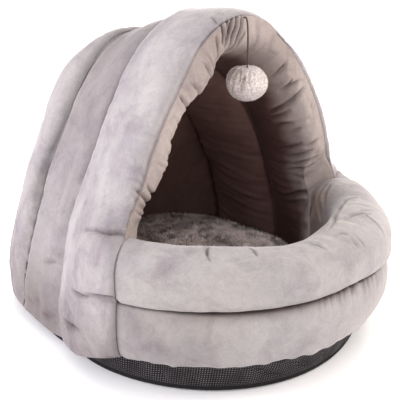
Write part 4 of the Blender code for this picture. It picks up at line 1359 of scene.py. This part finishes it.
# ---- the ball --------------------------------------------
def ball_mesh():
    """A plush ball gathered to its top, where the cord goes in, and its painted shade in the gathers and on
    its left side.
    """
    tilt = np.linspace(-math.pi / 2, math.pi / 2, BALL_RINGS + 1)[1:-1]
    angle = np.linspace(0.0, 2.0 * math.pi, BALL_AROUND, endpoint=False)
    tilt, angle = np.meshgrid(tilt, angle, indexing="ij")
    reach = BALL_RADIUS * np.cos(tilt)
    z = BALL_HALF_HEIGHT * np.sin(tilt) - BALL_DIMPLE * near(np.pi / 2 - tilt, 0.30)
    grid = parts(reach * np.cos(angle), reach * np.sin(angle), z)
    normals = unit(grid)
    # gathers run down from the cord's hole, deepest on the left
    wave = parts(np.cos(angle) * 3.6, np.sin(angle) * 3.6, tilt * 0.5)
    pleat = cloud(wave, 1.0, 61) + 0.5 * cloud(wave * 2.1, 1.0, 62)
    left = ease(-0.1, 0.9, np.cos(angle - 2.7))
    shown = ease(-0.25, 1.1, tilt) * (0.35 + 0.65 * left) + 0.5 * left * ease(-0.9, 0.0, tilt)
    shown *= np.cos(tilt) ** 0.5
    valley = creases(pleat, 3.2) * np.minimum(1.0, shown)
    relief = 1.9 * shown * pleat - 2.8 * valley + 0.25 * cloud(grid, 0.004, 63)
    grid = grid + normals * relief[..., None] * MM
    ends = ((0.0, 0.0, -BALL_HALF_HEIGHT), (0.0, 0.0, BALL_HALF_HEIGHT - BALL_DIMPLE * 1.05))
    points, faces = capped(grid, *ends)
    # painted shade: darker in the gathers' valleys and on the ball's left side
    return points + BALL_AT, faces, np.append(np.minimum(1.0, valley + 0.35 * left).ravel(), (0.0, 1.0))


# ---- the cord --------------------------------------------
def smooth_route(route, count):
    """Points evenly spread on one smooth curve through the route's own points."""
    rows = [Vector(p) for p in route]
    rows = [2 * rows[0] - rows[1], *rows, 2 * rows[-1] - rows[-2]]
    fine = []
    for k in range(1, len(rows) - 2):
        p0, p1, p2, p3 = rows[k - 1:k + 3]
        for j in range(20):
            t = j / 20.0
            fine.append(0.5 * ((2 * p1) + (p2 - p0) * t + (2 * p0 - 5 * p1 + 4 * p2 - p3) * t ** 2
                               + (3 * p1 - p0 - 3 * p2 + p3) * t ** 3))
    fine.append(rows[-2])
    return [fine[round(k * (len(fine) - 1) / (count - 1))] for k in range(count)]


# ---- stitching -------------------------------------------
STITCH_LENGTH = 2.6 * MM
STITCH_RADIUS = 0.35 * MM
STITCH_SIDES = 6
STITCH_SPANS = 4


def stitches(line, normals, pitch):
    """Short closed stitches laid along a line of points, half sunk in the cloth."""
    run = lengths(line, 0)
    turn = np.arange(STITCH_SIDES) * (2.0 * math.pi / STITCH_SIDES)
    t = np.linspace(0.0, 1.0, STITCH_SPANS + 1)
    lift = 0.45 * MM * np.sin(math.pi * t) - 0.15 * MM
    thick = STITCH_RADIUS * (0.45 + 0.55 * np.sin(math.pi * t))
    points, faces = [], []
    for start in np.arange(0.5 * pitch, run[-1] - STITCH_LENGTH, pitch):
        at = start + STITCH_LENGTH * t
        middle = sampled(line, run, at)
        up = sampled(normals, run, start)
        side = np.cross(unit(middle[-1] - middle[0]), up)
        rise = lift[:, None] + thick[:, None] * np.sin(turn)
        wide = thick[:, None] * np.cos(turn)
        first = len(points)
        points += (middle[:, None] + up * rise[..., None] + side * wide[..., None]).reshape(-1, 3).tolist()
        faces += [[first + v for v in face] for face in grid_faces(len(t), STITCH_SIDES, closed=True)]
        faces.append([first + j for j in reversed(range(STITCH_SIDES))])
        faces.append([len(points) - STITCH_SIDES + j for j in range(STITCH_SIDES)])
    return points, faces


# ---- settings, operators and panel -----------------------
class CaveSettings(bpy.types.PropertyGroup):
    camera_lens: FloatProperty(
        name="Camera lens", description="Focal length of the view",
        default=VIEW_LENS_MM, unit="CAMERA", min=20.0, max=200.0)
    cushion_pressure: FloatProperty(
        name="Cushion filling", description="Pressure that swells the cushion",
        default=4.0, min=0.0, max=10.0)
    cushion_pile: FloatProperty(
        name="Cushion pile", description="Length of the cushion's fibres",
        default=6 * MM, unit="LENGTH", min=0.0, max=0.02)
    cushion_locks: IntProperty(
        name="Cushion locks", description="Number of locks of fibre on the cushion",
        default=22000, min=0, max=45000)
    stitch_pitch: FloatProperty(
        name="Stitch pitch", description="From one stitch of the front seam to the next",
        default=3.6 * MM, unit="LENGTH", min=0.002, max=0.01)
    light_power: FloatProperty(
        name="Soft boxes", description="Power that the five soft boxes take their shares of",
        default=10.0, unit="POWER", min=0.0, max=200.0)
    surround: FloatProperty(
        name="Surround", description="Strength of the even white surround",
        default=1.04, min=0.0, max=3.0)


def settings():
    return bpy.context.scene.cave_settings


class CAVE_OT_stage(bpy.types.Operator):
    """Make the camera, the pale floor and the soft studio light"""
    bl_idname = "cave.stage"
    bl_label = "Stage"

    def execute(self, context):
        sine, cosine = math.sin(VIEW_AZIMUTH), math.cos(VIEW_AZIMUTH)
        right, flat = Vector((cosine, sine, 0.0)), math.cos(VIEW_ELEVATION)
        back = Vector((sine * flat, -cosine * flat, math.sin(VIEW_ELEVATION)))
        up = back.cross(right)
        turn = Matrix((right, up, back)).transposed().to_4x4()
        turn.translation = Vector(VIEW_CENTRE) + right * VIEW_RIGHT + up * VIEW_UP + back * VIEW_DISTANCE
        camera = add_object("camera", bpy.data.cameras.new("camera"))
        camera.matrix_world = turn
        camera.data.sensor_width = SENSOR_MM
        camera.data.lens = settings().camera_lens
        camera.data.clip_start = 0.01
        context.scene.camera = camera
        context.scene.view_settings.view_transform = "Standard"
        self.make_floor()
        self.make_light(context)
        return {"FINISHED"}

    def make_floor(self):
        mesh = bpy.data.meshes.new("floor")
        corners = [(x * FLOOR_HALF, y * FLOOR_HALF, 0) for x, y in ((-1, -1), (1, -1), (1, 1), (-1, 1))]
        mesh.from_pydata(corners, [], [(0, 1, 2, 3)])
        mesh.materials.append(studio_paint("matt white studio paint", "FFFEFE"))
        floor = add_object("floor", mesh)
        floor.location.z = -0.4 * MM

    def make_light(self, context):
        world = bpy.data.worlds.new("white surround")
        world.use_nodes = True
        shade = world.node_tree.nodes["Background"]
        shade.inputs["Color"].default_value = linear("FFFFFF")
        shade.inputs["Strength"].default_value = settings().surround
        context.scene.world = world
        for k, (place, share, size, tint) in enumerate(SOFT_BOXES):
            data = bpy.data.lights.new("soft box %d" % k, "AREA")
            data.energy, data.size = settings().light_power * share, size
            data.color = linear(tint)[:3]
            box = add_object(data.name, data)
            box.location = place
            box.rotation_euler = (Vector(LIT_POINT) - box.location).to_track_quat("-Z", "Y").to_euler()


class CAVE_OT_cord(bpy.types.Operator):
    """Make the elastic cord and the gathered plush ball that hangs on it"""
    bl_idname = "cave.cord"
    bl_label = "Cord and ball"

    def execute(self, context):
        route = smooth_route(CORD_ROUTE, CORD_POINTS)
        curve = bpy.data.curves.new("ball_elastic", "CURVE")
        curve.dimensions = "3D"
        curve.bevel_depth = CORD_RADIUS
        curve.bevel_resolution = 4
        curve.use_fill_caps = True
        spline = curve.splines.new("POLY")
        spline.points.add(len(route) - 1)
        for slot, point in zip(spline.points, route):
            slot.co = (*point, 1.0)
        curve.materials.append(yarn("braided dark elastic", "2C211F", "4E3F3B"))
        cord = declare(add_object("ball_elastic", curve), "ball_cord")
        plush = long_plush("cream gathered plush", "BEAEA7", "F2E9E5", "fine locks", 0.35)
        # the ball, with its painted shade in the gathers and on its left side
        points, faces, valley = ball_mesh()
        ball = add_piece("ball_plush", points, faces, plush, "ball", "ball_plush", {"painted_shade_and_pile_lay": valley})
        locks = pile(ball.data, BALL_LOCKS, BALL_PILE, BALL_LOCK_WIDTH, 7)
        tufts = add_piece("ball_pile", *locks, plush, slot="ball_plush")
        return {"FINISHED"}


class CAVE_OT_hood(bpy.types.Operator):
    """Make the ribbed hood: its outer cloth, front edge and lining"""
    bl_idname = "cave.hood"
    bl_label = "Hood"

    def execute(self, context):
        grid, shade, closed, count = relieved_hood()
        plush = velour("mauve-grey knitted velour", "ABA5A4", "958E91", "A8A29F")
        points, faces = cover_mesh(grid, count)
        marks = np.full(len(points), closed[-1, ARCH_STEPS // 2])
        marks[:closed[-count:].size] = closed[-count:].ravel()
        cover = add_piece("hood_plush", points, faces, plush, "hood", "outer_plush", {"painted_shade_and_pile_lay": marks})
        points, faces, marks = lining_mesh(grid, {"inside": shade, "painted_shade_and_pile_lay": closed}, count)
        # the hood's velour again, browner as painted shade for the lining inside the hood
        plush = velour("knitted velour in painted shade, lining", "ACA09B", "9E918C", "ADA19A", painted_depth_shade="D6B7B0", sheen=0.06)
        lining = add_piece("hood_lining", points, faces, plush, slot="outer_plush", attributes=marks)
        return {"FINISHED"}


class CAVE_OT_sill(bpy.types.Operator):
    """Make the two stuffed rolls in front"""
    bl_idname = "cave.sill"
    bl_label = "Sill"

    def execute(self, context):
        plush = velour("mauve-grey knitted velour, sill", "A6A09F", "999394", "A8A19D", painted_depth_shade="EBD9CC")
        points, faces, marks = sill_mesh()
        rolls = add_piece("sill_plush", points, faces, plush, "sill", "outer_plush", marks)
        return {"FINISHED"}


class CAVE_OT_base(bpy.types.Operator):
    """Make the non-slip bottom and its gathered band"""
    bl_idname = "cave.base"
    bl_label = "Bottom"

    def execute(self, context):
        points, faces, flat = base_mesh()
        cloth = dotted_cloth("black dotted non-slip cloth")
        base = add_piece("base_cloth", points, faces, cloth, "base", "nonslip_cloth")
        lay_cloth(base.data, flat)
        return {"FINISHED"}


class CAVE_OT_cushion(bpy.types.Operator):
    """Make the loose long-pile cushion, filled by a cloth simulation"""
    bl_idname = "cave.cushion"
    bl_label = "Cushion"

    def execute(self, context):
        plush = long_plush("taupe long-pile plush", "7D6B66", "F8E8E3", "wide locks", 0.3)
        cushion = add_piece("cushion_plush", *cushion_blank(), plush, "cushion", "cushion_plush")
        fill_with_air(cushion, settings().cushion_pressure, 5 * MM)
        smooth = cushion.modifiers.new("finer cloth", "SUBSURF")
        smooth.levels = smooth.render_levels = 1
        apply_modifiers(cushion)
        fluff(cushion.data, ((1.6, 0.030, 50.0), (1.0, 0.011, 51.0)))
        cushion.data.shade_smooth()
        count, length = settings().cushion_locks, settings().cushion_pile
        locks = pile(cushion.data, count, length, 0.8 * MM, 11, above=0.1)
        add_piece("cushion_pile", *locks, plush, slot="cushion_plush")
        return {"FINISHED"}


class CAVE_OT_stitching(bpy.types.Operator):
    """Sew the front seam of the hood"""
    bl_idname = "cave.stitching"
    bl_label = "Stitching"

    def execute(self, context):
        grid, _, _, count = relieved_hood()
        row = len(grid) - count
        normals = grid_normals(grid)[row]
        keep = grid[row][:, 2] > SILL_TOP * 0.97
        points, faces = stitches(grid[row][keep], normals[keep], settings().stitch_pitch)
        thread = yarn("sewing thread", "6E6266", "94878B")
        add_piece("front_stitches", points, faces, thread, slot="outer_plush")
        return {"FINISHED"}


class CAVE_PT_panel(bpy.types.Panel):
    """Lists the cave's sizes and the operators that make it"""
    bl_idname = "CAVE_PT_panel"
    bl_label = "Cat cave"
    bl_space_type = "VIEW_3D"
    bl_region_type = "UI"
    bl_category = "Cat cave"

    def draw(self, context):
        for name in CaveSettings.__annotations__:
            self.layout.prop(context.scene.cave_settings, name)
        for step in STEPS:
            self.layout.operator(step.bl_idname)


STEPS = (CAVE_OT_stage, CAVE_OT_cord, CAVE_OT_hood, CAVE_OT_sill, CAVE_OT_base, CAVE_OT_cushion,
         CAVE_OT_stitching)
CLASSES = (CaveSettings, *STEPS, CAVE_PT_panel)


def register():
    for made in CLASSES:
        bpy.utils.register_class(made)
    bpy.types.Scene.cave_settings = PointerProperty(type=CaveSettings)


def unregister():
    del bpy.types.Scene.cave_settings
    for made in reversed(CLASSES):
        bpy.utils.unregister_class(made)


def main():
    register()
    for step in STEPS:
        group, name = step.bl_idname.split(".")
        getattr(getattr(bpy.ops, group), name)()


if __name__ == "__main__":
    main()
